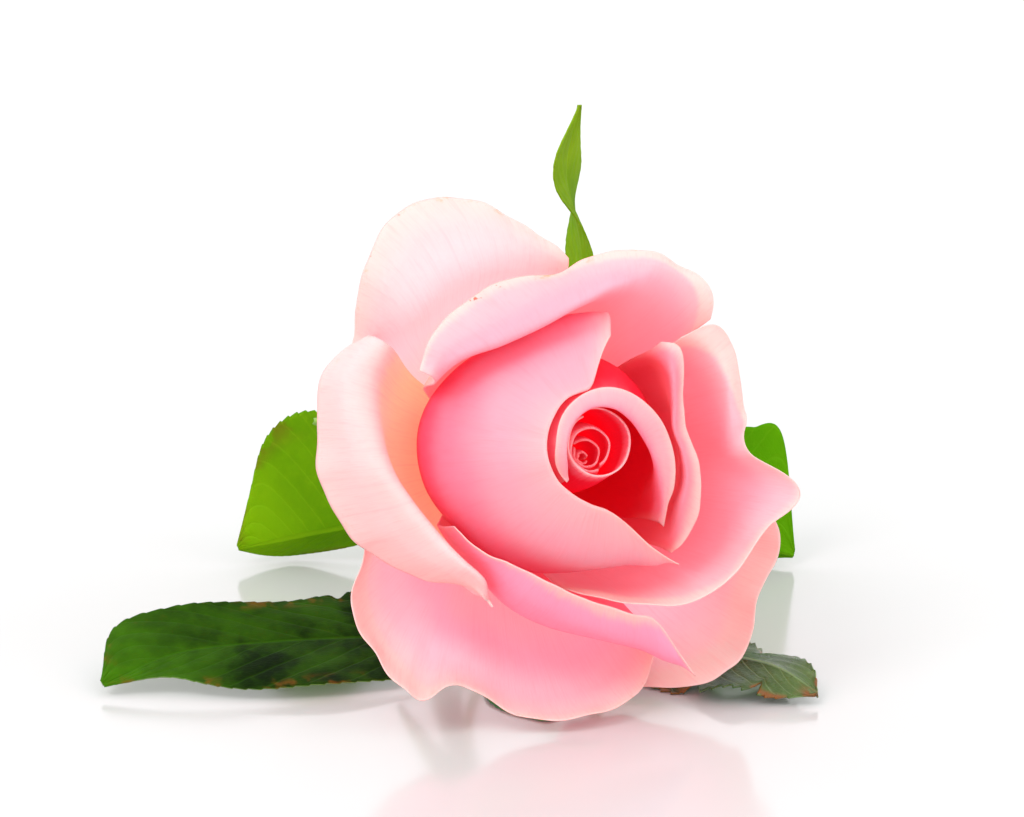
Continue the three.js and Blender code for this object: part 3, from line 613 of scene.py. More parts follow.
EDGE = (1, "ffe8e0")
UNDER_PALE = [(0, "d9dc98"), (0.2, "f0d4b4"), (0.45, "f9cdd0"), (0.75, "fbd8d8"), EDGE]
UNDER_PINK = [
    (0, "e2d49a"), (0.2, "f6b0b0"), (0.45, "f9a4b8"), (0.75, "fcb6c8"), (0.93, "ffccd6"), EDGE,
]
BACK_LOOK = dict(
    slot="pale_petal", painted_glow=0.2, outer=UNDER_PALE,
    inner=[(0, "efcf86"), (0.3, "fbc4bc"), (0.6, "fdd0d3"), (0.85, "fee0de"), EDGE])
# The deep reds and pinks low on the petals, and where slide deepens them, are partly the rose's own
# colour and partly painted shade of the hollows between the petals.
LOOKS = {
    "upper_left_petal": dict(
        slot="pale_petal", marks=0.6, painted_glow=0.75,
        inner=[(0, "f4dc9c"), (0.15, "ffdcc8"), (0.38, "ffd4d6"), (0.58, "ffdcdc"),
               (0.8, "ffe0de"), EDGE],
        outer=UNDER_PALE),
    "left_petal": dict(
        slot="pale_petal", marks=0.25, painted_glow=0.3, painted_glow_white=0.2, dim_from=0.75,
        slide=[(0, 0.5), (0.5, 0.52), (1, 0.66)],
        inner=[(0, "fcd098"), (0.25, "ffe8a8"), (0.4, "fff0b4"), (0.52, "ffecc8"),
               (0.62, "ffdfdb"), (0.85, "ffe8e6"), (1, "ffece8")],
        outer=UNDER_PALE),
    "bottom_petal": dict(
        slot="pink_petal", marks=0.2, painted_glow=0.45, painted_glow_white=0.6,
        slide=[(0, 0.8), (0.3, 0.7), (0.5, 0.52), (1, 0.52)],
        inner=[(0, "f4d488"), (0.25, "f8c8a8"), (0.42, "f6aab6"), (0.56, "f8a8c0"),
               (0.76, "ffcad6"), (0.92, "ffdfe0"), EDGE],
        outer=UNDER_PINK),
    "lower_cup_petal": dict(
        slot="pink_petal", painted_glow=0.12, painted_glow_white=0.2,
        inner=[(0, "f0b070"), (0.2, "f04868"), (0.5, "f67c98"), (0.8, "feb4c6"),
               (0.95, "ffd4da"), EDGE],
        outer=[(0, "f0dcb0"), (0.2, "ff94b0"), (0.5, "ff9cbc"), (0.75, "ffacd0"),
               (0.93, "ffbce0"), EDGE]),
    "lower_right_petal": dict(
        slot="pale_petal", slide=[(0, 0.6), (1, 0.68)], painted_glow=0.6,
        inner=[(0, "f4d08c"), (0.25, "f8c0c4"), (0.45, "fac4d0"), (0.7, "ffd2dc"),
               (0.9, "ffe0e2"), EDGE],
        outer=UNDER_PINK),
    "right_petal": dict(
        slot="pink_petal", painted_glow=0.2, painted_glow_white=0.3,
        slide=[(0, 0.74), (0.2, 0.64), (0.42, 0.48), (0.65, 0.5), (1, 0.7)],
        inner=[(0, "f0a868"), (0.18, "e8285a"), (0.4, "ec4070"), (0.58, "f06c96"),
               (0.72, "fcb2ca"), (0.86, "ffd8e2"), EDGE],
        outer=UNDER_PINK),
    "hood_petal": dict(
        slot="pale_petal", marks=1.0, painted_glow=0.26, painted_glow_white=0.3,
        slide=[(0, 0.5), (0.5, 0.52), (1, 0.64)],
        inner=[(0, "f8c470"), (0.28, "fcb078"), (0.4, "ffd090"), (0.5, "ffccbc"),
               (0.6, "ffd2d6"), (0.8, "ffdfe0"), EDGE],
        outer=UNDER_PINK),
    "inner_right_petal": dict(
        slot="pink_petal", painted_glow=0.05, painted_glow_white=0.0,
        inner=[(0, "f0a860"), (0.2, "ec1838"), (0.5, "f0304e"), (0.62, "f8809a"),
               (0.72, "ffd4da"), (0.9, "ffe2e4"), EDGE],
        outer=[(0, "e9c48c"), (0.25, "f03050"), (0.6, "f6607e"), (0.85, "fc9cb0"), EDGE]),
    "heart_wrap_petal": dict(
        slot="pink_petal", painted_glow=0.06, painted_glow_white=0.0,
        slide=[(0, 0.5), (0.12, 0.4), (0.35, 0.44), (0.6, 0.47), (1, 0.5)],
        inner=[(0, "f0a860"), (0.2, "f02040"), (0.7, "f43050"), (0.9, "fa7890"),
               (0.96, "ffd4d0"), EDGE],
        outer=[(0, "e9b47c"), (0.15, "ee2448"), (0.38, "f03254"), (0.5, "f4648a"),
               (0.62, "fc98b6"), (0.78, "ffbed0"), (0.95, "ffd0d6"), (0.985, "ffdcd8"),
               (1, "ffe6da")]),
    "ring_petal": dict(
        slot="heart_petal", painted_glow=0.08, painted_glow_white=0.0,
        inner=[(0, "f0a050"), (0.25, "ec1030"), (0.66, "f01c3c"), (0.74, "f8687e"),
               (0.82, "ffd4d4"), (0.93, "ffe0dc"), EDGE],
        outer=[(0, "e9a468"), (0.25, "e40c2c"), (0.66, "ee2c50"), (0.8, "fc88a4"),
               (0.92, "ffc0ca"), (1, "ffdcd8")]),
    "back_right_petal": dict(
        slot="pale_petal", painted_glow=0.2, outer=UNDER_PALE,
        inner=[(0, "efcf86"), (0.3, "fbb8bc"), (0.6, "fdc8cf"), (0.85, "fedcdc"), EDGE]),
    "back_top_petal": BACK_LOOK,
    "back_left_petal": BACK_LOOK,
}

for number, (name, spec) in enumerate(PETALS.items()):
    look = dict(LOOKS[name])
    slot = look.pop("slot")
    finish = petal_finish(name.replace("_petal", "_petal_skin"), seed=number * 3.7, **look)
    points = petal_points(name, spec)
    thickness = PETAL_THICK - PETAL_THINNING * np.linspace(0, 1, points.shape[1]) ** 2
    thin_piece(name, points, thickness[None, :], finish)


# ---------- rolled heart
# Petals rolled one inside the other, each leaning a little off the bloom's axis:
# (name, centre right, centre up, starting degrees, outer and inner rolled radius, edge height).
SCROLLS = [
    ("scroll_petal_1", 0.9, 1.5, 100, 5.7, 4.8, 47),
    ("scroll_petal_2", 0.3, 1.5, -70, 3.6, 3.0, 46),
    ("scroll_petal_3", 0.1, 1.0, 130, 2.3, 1.8, 45),
    ("scroll_petal_4", 0.0, 0.6, -30, 1.0, 0.7, 44),
]
SCROLL_THICK, SCROLL_WRAP = 0.28, 350
# How far the rim of each moves right and up, how much it widens just below the rim, and how
# much higher it stands.
SETTLE = {
    "scroll_petal_1": (0.0, 0.0, 0.0, 0.0),
    "scroll_petal_2": (-0.55, -0.75, 0.8, 0.6),
    "scroll_petal_3": (-1.1, -1.1, 0.7, 1.0),
    "scroll_petal_4": (-1.5, -1.2, 0.5, 1.6),
}
# The rolled heart's deep red is partly its own colour and partly painted shade deep in the roll.
HEART_COLORS = [
    [(0, "e80420"), (0.6, "ec0c28"), (0.86, "f02848"), (0.95, "f87088"), (1, "ffb8bc")],
    [(0, "e80420"), (0.6, "ec0c28"), (0.88, "ee2440"), (0.97, "f45c74"), (1, "fa9ca4")],
    [(0, "e4041c"), (0.6, "e80824"), (0.88, "ea1c38"), (0.97, "f04c64"), (1, "f88890")],
    [(0, "e0041c"), (0.6, "e80c24"), (0.88, "ec2840"), (0.97, "f2586c"), (1, "f88890")],
]


def scroll_points(name, right, up, start, wide, narrow, height):
    u, v = grid(150, 64)
    rolled = wide + (narrow - wide) * u
    belly = 1 + 0.5 * np.sin(np.pi * v) * np.minimum(1, rolled / 3) - 0.5 * (1 - v) ** 2
    lean_right, lean_up, shoulder, raised = SETTLE[name]
    below = (1 - np.exp(-(1 - v) * 22)) * np.minimum(1, v * 3)
    r = rolled * belly + 2.5 * np.maximum(0, v - 0.9) * rolled / 5 + shoulder * below
    turn = np.radians(start - SCROLL_WRAP * u)
    x = (right + lean_right) * v + r * np.cos(turn)
    y = (up + lean_up) * v + r * np.sin(turn)
    low = seat_height(rolled / 2)
    top = height + raised - 1.2 * np.abs(2 * u - 1) ** 4 + 0.25 * np.sin(5 * turn)
    return BASE + on_bloom(np.degrees(np.arctan2(y, x)), np.hypot(x, y), low + (top - low) * v)


for number, row in enumerate(SCROLLS):
    name = row[0]
    colors = HEART_COLORS[number]
    # The rolled petals carry a painted glow, strongest low down and not quite gone at the top, that
    # lightens the shade deep in the heart.
    finish = petal_finish(
        name.replace("_petal", "_skin"), colors, colors, painted_glow=0.4, seed=60.0 + number,
        glow=0.3, behind="ff3048", painted_glow_white=0.0, dim_from=1.3, gloss=0.03)
    thin_piece(name, scroll_points(*row), SCROLL_THICK, finish)


# ---------- green finishes
SIDE_VEINS, VEIN_SLANT = 10.0, 3.4
LIGHT_THROUGH_LEAF = "8cc010"


def leaf_finish(name, outer, inner, vein, gloss, shine, glow, seed, dry=0.0):
    """A leaflet's two faces, two greens each, with its side veins, midrib and dry edges.

    gloss is the roughness and shine how strongly the surface shines. glow is the share of
    light that comes through from behind, and dry how far the edges have browned.
    """
    made = Finish(name)
    across, along = made.across_and_along()
    here = made.here()
    side = abs(across * 2.0 - 1.0)
    cloud = made.noise(here, 80.0, 4.0, 0.6)
    fleck = made.noise(here, 420.0, 3.0, 0.6)
    run = (along + seed) * SIDE_VEINS - side * VEIN_SLANT + (cloud - 0.5) * 0.5
    near_vein = 1.0 - (0.5 - abs(run.fraction() - 0.5)).rise(0.0, 0.1)
    midrib = 1.0 - side.rise(0.01, 0.045)
    net_place = made.vector(across * 30.0 + seed, along * 40.0)
    net = made.node("ShaderNodeTexVoronoi", 0, {"feature": "DISTANCE_TO_EDGE"}, {
        "Vector": net_place, "Scale": 1.0})
    net_line = 1.0 - net.rise(0.0, 0.1)
    veins = (near_vein * 0.55).larger(midrib).larger(net_line * 0.18)
    # Random tone, and lighter towards the tip: the darker green near the stalk is partly the
    # leaflet's own colour and partly painted shade of the bloom.
    tone_and_painted_shade = cloud.rise(0.35, 0.65) * 0.4 + along.rise(0.5, 1.0) * 0.6
    first = made.mix(tone_and_painted_shade, paint(outer[0]), paint(outer[1]))
    second = made.mix(tone_and_painted_shade, paint(inner[0]), paint(inner[1]))
    color = made.mix(made.face(), second, first)
    color = made.mix(veins * 0.4, color, paint(vein))
    color = made.mix(fleck.rise(0.55, 0.75) * 0.2, color, paint(vein))
    if dry:
        edge = side.rise(0.72, 0.98).larger(along.rise(0.9, 1.0))
        patch = made.noise(here, 150.0, 3.0, 0.6).rise(0.5, 0.6) * edge * dry
        color = made.mix(patch, color, paint("7a4a1c"))
    made.put({
        "Base Color": color,
        "Roughness": gloss + (fleck - 0.5) * 0.2,
        "Specular IOR Level": shine,
        "Subsurface Weight": 0.1,
        "Subsurface Radius": (0.5, 1.0, 0.2),
        "Subsurface Scale": 0.0008,
    })
    made.bump(veins * -0.6 + fleck * 0.4, 0.0003, 0.6)
    made.let_light_through(glow, LIGHT_THROUGH_LEAF)
    return made.material


def skin_finish(name, first, second, blush="8a5a3c", gloss=0.45):
    """Stems, stalks and the calyx: long streaks of green with a little red in them."""
    made = Finish(name)
    here = made.here()
    cloud = made.noise(here, 55.0, 4.0, 0.6)
    streak = made.noise(here, 420.0, 3.0, 0.65)
    fine = made.noise(here, 1300.0, 3.0, 0.6)
    color = made.mix(cloud.rise(0.35, 0.68), paint(first), paint(second))
    color = made.mix(streak.rise(0.5, 0.75) * 0.3, color, paint("b4c47c"))
    color = made.mix(cloud.rise(0.6, 0.75) * 0.35, color, paint(blush))
    made.put({
        "Base Color": color,
        "Roughness": gloss + (fine - 0.5) * 0.25,
        "Specular IOR Level": 0.35,
    })
    made.bump(streak * 0.5 + fine * 0.5, 0.00018, 0.5)
    return made.material


# ---------- leaves
# spine is the midrib's line and across the way the blade spreads, at points along it. halves
# are the half widths of its two sides from stalk to tip, and lift the degrees each is raised.
LEAF_THICK, TABLE_GAP = 0.3, 0.3
QUILTING, RIB_FOLD = 0.16, 0.25
LEAFLETS = {
    "left_front_leaflet": dict(
        slot="dark_leaf", teeth=26, lift=(3, 2),
        spine=[(-10, -1, 5), (-26, -4, 6), (-44, -8, 6.4), (-60, -12, 5.6), (-72.5, -18.5, 2)],
        across=[(0, 1, 0.3), (-0.2, 1, 0.34), (-0.8, 1, 0.4)],
        halves=([2, 13, 13.5, 11.5, 11.5, 12.5, 12, 0.7], [2, 11.5, 14.4, 15, 13.6, 10, 5, 0.7])),
    "right_front_leaflet": dict(
        slot="dark_leaf", teeth=22, lift=(8, 18),
        spine=[(22, -1, 4.6), (29, -7, 5.4), (38, -13, 6), (47, -18, 5.4), (54, -24, 2.6)],
        across=[(0, 1, 0), (0.3, 1, 0.1), (0.5, 1, 0)],
        halves=([1.5, 9, 11.5, 12, 11.5, 9.5, 6, 0.7], [1.5, 8, 10.5, 11, 10.6, 9, 5.5, 0.7])),
    "centre_front_leaflet": dict(
        slot="dark_leaf", teeth=18, lift=(0, 0),
        spine=[(5, 1, 2.6), (6, -8, 1.6), (6, -17, 0.8), (6, -25, 0.6), (6, -32, 0.5)],
        across=[(1, 0, 0), (1, 0, 0), (1, 0, 0)],
        halves=([1.5, 8, 10.5, 11, 10.8, 9.4, 6.2, 0.7], [1.5, 8, 10.5, 11, 10.8, 9.4, 6.2, 0.7])),
    "left_back_leaflet": dict(
        slot="light_leaf", teeth=22, lift=(0, -55),
        spine=[(-22, 55, 11), (-30, 56, 9), (-39, 57, 7), (-47, 57.5, 5.2), (-54, 58, 3.8)],
        across=[(0, 0.2, 1), (0.1, 0.2, 1), (-0.1, 0.2, 1)],
        halves=([4, 16, 22.5, 24.5, 23, 18.5, 10, 0.7], [1.5, 5, 6.6, 7, 6.8, 6, 4, 0.7])),
    "right_back_leaflet": dict(
        slot="light_leaf", teeth=24, lift=(0, 55),
        spine=[(9, 54, 15), (21, 55, 12), (33, 56, 9), (43, 57, 5.6), (56, 58, 2.2)],
        across=[(0, 0.2, 1), (0, 0.2, 1), (-0.16, 0.2, 1)],
        halves=([4, 16, 20.5, 20.6, 21.6, 23, 23, 1.2], [1.5, 5, 6.6, 7, 6.8, 6, 4, 0.7])),
    "top_leaflet": dict(
        slot="light_leaf", teeth=24, lift=(0, 0),
        spine=[(12.5, 45, 46), (13.4, 45, 58), (13.2, 45, 69), (10.3, 45, 82), (12.6, 45, 95)],
        across=[(-0.4, 1, 0), (-0.4, 1, 0), (-0.32, 1, 0), (0.32, 1, 0), (0.3, 1, 0)],
        halves=([1.2, 4, 7, 8.5, 9.5, 10, 7, 0.6], [1.2, 4, 6, 5, 4.6, 8, 8, 0.6])),
}


def leaf_points(spec, across=48, along=260):
    u, v = grid(across, along)
    spine = through(spec["spine"], v)
    ahead = np.gradient(spine, axis=1)
    ahead /= np.linalg.norm(ahead, axis=-1, keepdims=True)
    side_way = through(spec["across"], v)
    side_way = side_way - ahead * np.sum(side_way * ahead, axis=-1, keepdims=True)
    side_way /= np.linalg.norm(side_way, axis=-1, keepdims=True)
    up = np.cross(side_way, ahead)
    side = 1 - 2 * u
    rib = np.abs(side)
    first, second = (through([(h,) for h in half], v)[..., 0] for half in spec["halves"])
    half = np.where(side > 0, first, second)
    tooth = (v * spec["teeth"]) % 1.0
    saw = (1 - tooth) * np.minimum(1, tooth * 6) * (v > 0.06) * (v < 0.97)
    half = half * (1 - spec["bite"] * (1 - saw) * rib**8)
    for middle, width, depth, which in spec["nicks"]:
        nick = np.exp(-(((v - middle) / width) ** 2))
        half = half * (1 - depth * nick * (side * which > 0) * rib**2)
    lift = np.radians(np.where(side > 0, spec["lift"][0], spec["lift"][1]))
    reach = side * half
    out = side_way * (reach * np.cos(lift))[..., None]
    points = spine + out + up * (np.abs(reach) * np.sin(lift))[..., None]
    quilt = QUILTING * np.abs(np.sin(np.pi * (v * SIDE_VEINS - rib * VEIN_SLANT)))
    quilt = quilt * np.sin(np.pi * rib) + RIB_FOLD * (1 - np.exp(-rib * 9))
    sway = spec["sway"] * np.sin(13 * v + 3 * u) * rib**2
    points = points + up * (quilt + sway)[..., None]
    points[..., 2] = np.maximum(points[..., 2], TABLE_GAP)
    return TABLE + points


# bite is the depth of the teeth as a share of the half width, nicks are (place, width, depth,
# side), and sway is how far the edge wanders up and down in millimetres.
LEAF_LOOKS = {
    "left_front_leaflet": dict(
        bite=0.03, nicks=[(0.3, 0.018, 0.12, 1)], sway=0.5,
        outer=("7f9a58", "90a868"), inner=("061400", "3c6c06"), vein="34600c",
        dry=0.5, shine=0.03, gloss=0.5, glow=0.06),
    "right_front_leaflet": dict(
        bite=0.13, sway=1.6,
        nicks=[(0.45, 0.03, 0.4, -1), (0.75, 0.02, 0.45, -1), (0.6, 0.02, 0.3, 1)],
        outer=("182c0a", "4c6428"), inner=("203c0c", "7c9460"), vein="98ac74",
        dry=1.6, shine=0.35, gloss=0.3, glow=0.1),
    "centre_front_leaflet": dict(
        bite=0.04, nicks=[], sway=0.2,
        outer=("2c6430", "3f7a3c"), inner=("6f9468", "80a478"), vein="5c9c58",
        shine=0.15, gloss=0.4, glow=0.1),
    "left_back_leaflet": dict(
        bite=0.02, nicks=[], sway=0.4,
        outer=("7ca81c", "90b82c"), inner=("608f06", "84b408"), vein="90bc18",
        dry=0.5, shine=0.03, gloss=0.5, glow=0.35),
    "right_back_leaflet": dict(
        bite=0.0, nicks=[], sway=0.2,
        outer=("4a8c04", "62a408"), inner=("7ca82c", "90bc3c"), vein="74ac18",
        shine=0.02, gloss=0.5, glow=0.3),
    "top_leaflet": dict(
        bite=0.03, nicks=[], sway=0.3,
        outer=("749c14", "a4c024"), inner=("60840c", "98b41c"), vein="a4c83c",
        shine=0.03, gloss=0.5, glow=0.35),
}
for number, (name, spec) in enumerate(LEAFLETS.items()):
    look = dict(LEAF_LOOKS[name])
    shape = {key: look.pop(key) for key in ("bite", "nicks", "sway")}
    finish = leaf_finish(name + "_skin", seed=number * 0.13, **look)
    thin_piece(name, leaf_points({**spec, **shape}), LEAF_THICK, finish)


# ---------- calyx
# The hip's smooth outline, from the middle of its crown to the middle of its foot.
HIP_PROFILE = [
    (0.0, 0.16), (0.45, 0.09), (0.88, 0.01), (0.99, -0.06), (0.96, -0.14), (0.85, -0.26),
    (0.83, -0.42), (0.76, -0.62), (0.56, -0.84), (0.42, -1.0), (0.2, -1.0), (0.0, -1.0),
]
SEPAL_LENGTH, SEPAL_HALF, SEPAL_THICK = 26, 4, 0.5


def hip_mesh(finish, sides=64, steps=60):
    """The hip, turned about the bloom's axis and closed at its crown and foot."""
    profile = through(HIP_PROFILE, np.linspace(0, 1, steps))
    turn = np.arange(sides) * 360 / sides
    points = [BASE + hip_ring(turn, r, h) for r, h in profile[1:-1]]
    top = BASE + AXIS * profile[0][1] * HIP_LENGTH
    bottom = BASE - AXIS * HIP_LENGTH
    coords = np.concatenate(points + [[top], [bottom]])
    rings = len(points)
    faces = []
    for j in range(rings - 1):
        for i in range(sides):
            n = (i + 1) % sides
            faces.append((j * sides + i, (j + 1) * sides + i, (j + 1) * sides + n, j * sides + n))
    for i in range(sides):
        n = (i + 1) % sides
        faces.append((rings * sides, i, n))
        faces.append((rings * sides + 1, (rings - 1) * sides + n, (rings - 1) * sides + i))
    return smooth_mesh("hip", coords, faces, finish)


calyx_skin = skin_finish("calyx_skin", "5a8a2c", "86ac4c")
piece("hip", hip_mesh(calyx_skin))


def sepal_points(index):
    """A sepal that comes out from under the hip's rim and bends back."""
    u, v = grid(24, 80)
    taper = (1 - v) ** 0.8
    waist = 0.08 + 0.92 * taper * (0.45 + 2 * v)
    half = SEPAL_HALF * np.where(v < 0.25, waist, 0.08 + 0.874 * taper)
    half = half * (1 + 0.05 * np.sin(40 * v) * (v > 0.3))
    radius = HIP_RADIUS + 0.5 + SEPAL_LENGTH * v
    height = -1.6 - 2 * v - 8 * v**2 + 0.8 * np.cos(np.pi * (u - 0.5)) - 0.8
    height = height + 0.5 * np.sin(9 * v + index) * v
    swing = np.degrees(np.arctan2((u - 0.5) * 2 * half, radius))
    return BASE + on_bloom(90 + 72 * index - swing, radius, height)


for index in range(5):
    finish = skin_finish(f"sepal_skin_{index + 1}", "649430", "8cb050", gloss=0.55)
    thin_piece(f"sepal_{index + 1}", sepal_points(index), SEPAL_THICK, finish)


# ---------- stem and stalks
def start_tree(name, sizes):
    """A new tree with its named inputs, (label, kind, value), and what it is given."""
    tree = bpy.data.node_groups.new(name, "GeometryNodeTree")
    sockets = tree.interface
    sockets.new_socket("Geometry", in_out="INPUT", socket_type="NodeSocketGeometry")
    for label, kind, value in sizes:
        kind = "NodeSocket" + kind
        sockets.new_socket(label, in_out="INPUT", socket_type=kind).default_value = value
    sockets.new_socket("Skin", in_out="INPUT", socket_type="NodeSocketMaterial")
    sockets.new_socket("Geometry", in_out="OUTPUT", socket_type="NodeSocketGeometry")
    return tree, add_node(tree, "NodeGroupInput", "Geometry")


def end_tree(tree, given, shape):
    """Makes copies real and gives the shape its skin."""
    real = add_node(tree, "GeometryNodeRealizeInstances", 0, None, {0: shape})
    skin = given.beside("Skin")
    skinned = add_node(tree, "GeometryNodeSetMaterial", 0, None, {0: real, "Material": skin})
    add_node(tree, "NodeGroupOutput", 0, None, {0: skinned})
    return tree


def tube_tree():
    """Sweeps a ring along a line, as thick at each point as it says, and closes the ends."""
    tree, given = start_tree("tube", [("Sides", "Int", 16)])
    line = add_node(tree, "GeometryNodeMeshToCurve", 0, None, {0: given})
    ring = add_node(tree, "GeometryNodeCurvePrimitiveCircle", 0, None, {
        "Resolution": given.beside("Sides"), "Radius": 1.0})
    thick = add_node(tree, "GeometryNodeInputNamedAttribute", 0, {"data_type": "FLOAT"}, {
        "Name": "thick"})
    swept = add_node(tree, "GeometryNodeCurveToMesh", 0, None, {
        "Curve": line, "Profile Curve": ring, "Scale": thick, "Fill Caps": True})
    smooth = add_node(tree, "GeometryNodeSetShadeSmooth", 0, None, {0: swept})
    return end_tree(tree, given, smooth)


def grown(mesh, tree, values):
    """What a node tree makes of a plain mesh."""
    holder = placed(mesh.name + "_bare", mesh)
    modifier = holder.modifiers.new("grow", "NODES")
    modifier.node_group = tree
    for item in tree.interface.items_tree:
        if item.item_type == "SOCKET" and item.in_out == "INPUT" and item.name in values:
            modifier[item.identifier] = values[item.name]
    seen = holder.evaluated_get(bpy.context.evaluated_depsgraph_get())
    made = bpy.data.meshes.new_from_object(seen)
    bpy.data.objects.remove(holder)
    return made


TUBE = tube_tree()


def tube_mesh(name, path, sides, rings, finish):
    """A closed tube through rows of x, y, z and radius in millimetres, measured from the table."""
    rows = through(path, np.linspace(0, 1, rings))
    places = (TABLE + rows[:, :3]) * MM
    line = bpy.data.meshes.new(name)
    line.from_pydata(places.tolist(), [(i, i + 1) for i in range(rings - 1)], [])
    thick = line.attributes.new("thick", "FLOAT", "POINT")
    thick.data.foreach_set("value", (rows[:, 3] * MM).tolist())
    return grown(line, TUBE, {"Sides": sides, "Skin": finish})


hip_end = -AXIS * (HIP_LENGTH + 0.3) + np.array([0, 0, BLOOM_LIFT])
STEM = [
    (*hip_end, 2.66),
    (*(hip_end + (-5, 14, -5)), 2.66),
    (-13.5, 42, 19, 2.8),
    (-17.1, 66, 9.12, 2.8),
    (-18, 96, 4.3, 2.8),
    (-18, 128, 3.0, 2.94),
]


# A prickle's tip radius and how deep it is sunk, in metres, how flat it is, how far it leans
# in radians, and how much a face has to look up to carry one.
PRICKLE_TIP, PRICKLE_SUNK, PRICKLE_FLAT = 0.00004, 0.0004, 0.55
PRICKLE_LEAN, UPPER_SIDE = 0.45, 0.12


def prickle_tree():
    """Straight leaning prickles on a stem's upper side, spaced at random."""
    tree, given = start_tree("stem_prickles", [
        ("Prickle Length", "Float", 0.0042), ("Prickle Base", "Float", 0.0011),
        ("Spacing", "Float", 0.013), ("Seed", "Int", 7)])
    seed = given.beside("Seed")
    way_out = add_node(tree, "GeometryNodeInputNormal")
    height = add_node(tree, "ShaderNodeSeparateXYZ", 2, None, {0: way_out})
    settings = {"data_type": "FLOAT", "operation": "GREATER_THAN"}
    upper = add_node(tree, "FunctionNodeCompare", 0, settings, {0: height, 1: UPPER_SIDE})
    settings = {"distribute_method": "POISSON"}
    spots = add_node(tree, "GeometryNodeDistributePointsOnFaces", "Points", settings, {
        "Mesh": given, "Selection": upper, "Distance Min": given.beside("Spacing"),
        "Density Max": 30000.0, "Seed": seed})
    cone = add_node(tree, "GeometryNodeMeshCone", 0, None, {
        "Vertices": 10, "Side Segments": 4, "Radius Top": PRICKLE_TIP,
        "Radius Bottom": given.beside("Prickle Base"), "Depth": given.beside("Prickle Length")})
    sunk = add_node(tree, "GeometryNodeTransform", 0, None, {
        "Geometry": cone, "Translation": (0, 0, -PRICKLE_SUNK), "Scale": (PRICKLE_FLAT, 1, 1)})
    lean = add_node(tree, "FunctionNodeRotateRotation", 0, {"rotation_space": "LOCAL"}, {
        0: spots.beside("Rotation"), 1: (0.0, PRICKLE_LEAN, 0.0)})
    size = add_node(tree, "FunctionNodeRandomValue", 1, {"data_type": "FLOAT"}, {
        "Min": 0.7, "Max": 1.15, "Seed": seed})
    set_out = add_node(tree, "GeometryNodeInstanceOnPoints", 0, None, {
        "Points": spots, "Instance": sunk, "Rotation": lean, "Scale": size})
    return end_tree(tree, given, set_out)


def joined(name, meshes, finishes):
    """Several closed meshes as one, each with its own finish."""
    both = bmesh.new()
    for number, mesh in enumerate(meshes):
        before = len(both.faces)
        both.from_mesh(mesh)
        both.faces.ensure_lookup_table()
        for face in both.faces[before:]:
            face.material_index = number
    made = bpy.data.meshes.new(name)
    both.to_mesh(made)
    both.free()
    for finish in finishes:
        made.materials.append(finish)
    return made


stem_skin = skin_finish("stem_skin", "3f6c24", "6c9c3c", "7c5a3a", 0.38)
prickle_skin = skin_finish("prickle_skin", "8c5a34", "b07c4c", "6c3424", 0.35)
stem_bare = tube_mesh("stem", STEM, 40, 160, stem_skin)
prickles = grown(stem_bare, prickle_tree(), {
    "Prickle Length": 0.0042, "Spacing": 0.013, "Seed": 11, "Skin": prickle_skin})
piece("stem", joined("stem", [stem_bare, prickles], [stem_skin, prickle_skin]))

# Radii of a leaf's own stalk, of its far end and of a leaflet's stalk.
STOUT, ENDING, SLIM = 0.9, 0.72, 0.63
STALKS = {
    "front_leaf_stalk": [
        (-8.7, 24.9, 27.2, STOUT), (-7, 19, 14, STOUT), (-1, 12, 6, STOUT), (3, 6, 4, STOUT),
        (4.6, 2, 3, ENDING)],
    "left_front_stalk": [(-1.5, 10, 5.5, SLIM), (-5, 5, 5.5, SLIM), (-9.4, 0, 5.2, SLIM)],
    "right_front_stalk": [(3.5, 9.5, 5.3, SLIM), (12, 6, 5.6, SLIM), (21.4, -0.5, 4.7, SLIM)],
    "back_leaf_stalk": [
        (-10, 43, 20, STOUT), (-4, 50, 17, STOUT), (2, 53, 22, STOUT), (9, 49, 33, STOUT),
        (13, 45.2, 45, ENDING)],
    "left_back_stalk": [
        (-5, 51.8, 18, SLIM), (-13, 53, 25, SLIM), (-20, 54.3, 16, SLIM),
        (-21.4, 54.8, 11.8, SLIM)],
    "right_back_stalk": [(2.2, 54, 20, SLIM), (5, 54.6, 16.6, SLIM), (8.4, 54.1, 15.2, SLIM)],
}
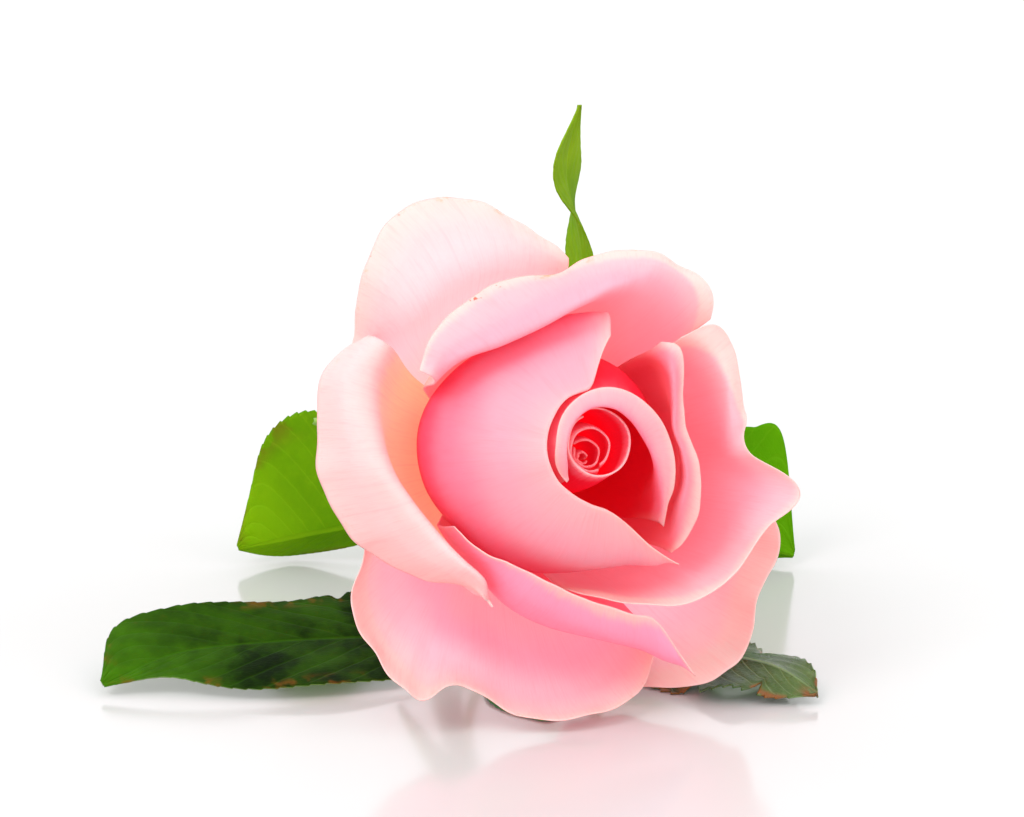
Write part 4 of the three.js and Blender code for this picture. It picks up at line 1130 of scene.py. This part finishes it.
for name, path in STALKS.items():
    finish = skin_finish(name + "_skin", "6c8a34", "8a9c44", gloss=0.5)
    piece(name, tube_mesh(name, path, 16, 50, finish))


# ---------- floor, lights and camera
def floor_finish():
    made = Finish("studio_floor")
    tone = made.noise(made.here(), 3.0, 2.0)
    made.put({
        "Base Color": made.mix(tone.rise(0.3, 0.7), paint("bcbcbc"), paint("c0c0c0")),
        "Roughness": 0.12 + tone * 0.04,
        "Specular IOR Level": 0.6,
    })
    return made.material


ROOM_LIGHT = 1.45
CAMERA_LENS, CAMERA_TILT = 126.95, 75
CAMERA_FROM_BLOOM = np.array([0.18, -625.36, 177.53])

floor_mesh = bpy.data.meshes.new("floor")
floor_mesh.from_pydata([(-4, -4, 0), (4, -4, 0), (4, 6, 0), (-4, 6, 0)], [], [(0, 1, 2, 3)])
floor_mesh.materials.append(floor_finish())
placed("floor", floor_mesh)

world = bpy.data.worlds.new("studio")
bpy.context.scene.world = world
world.use_nodes = True
background = world.node_tree.nodes["Background"]
background.inputs["Color"].default_value = (1, 1, 1, 1)
background.inputs["Strength"].default_value = ROOM_LIGHT


def soft_light(name, place, aim, size, power):
    """A round light turned to face what it is aimed at."""
    data = bpy.data.lights.new(name, "AREA")
    data.shape = "DISK"
    data.size = size
    data.energy = power
    lamp = placed(name, data)
    lamp.location = place
    way = np.array(aim) - np.array(place)
    tilt = math.acos(-way[2] / np.linalg.norm(way))
    lamp.rotation_euler = (tilt, 0, math.atan2(way[0], -way[1]) + math.pi)


centre = tuple(BASE * MM)
soft_light("key_light", (-0.6, -0.7, 1.0), centre, 0.6, 6.5)
soft_light("fill_light", (0.9, -0.5, 0.6), centre, 0.9, 3)
soft_light("low_light", (-0.1, -1.1, 0.12), centre, 0.8, 2.5)

camera_data = bpy.data.cameras.new("camera")
camera_data.lens = CAMERA_LENS
camera_data.sensor_width = 36
camera = placed("camera", camera_data)
camera.location = tuple((BASE + CAMERA_FROM_BLOOM) * MM)
camera.rotation_euler = (math.radians(CAMERA_TILT), 0, 0)
bpy.context.scene.camera = camera
bpy.context.scene.view_settings.view_transform = "Standard"
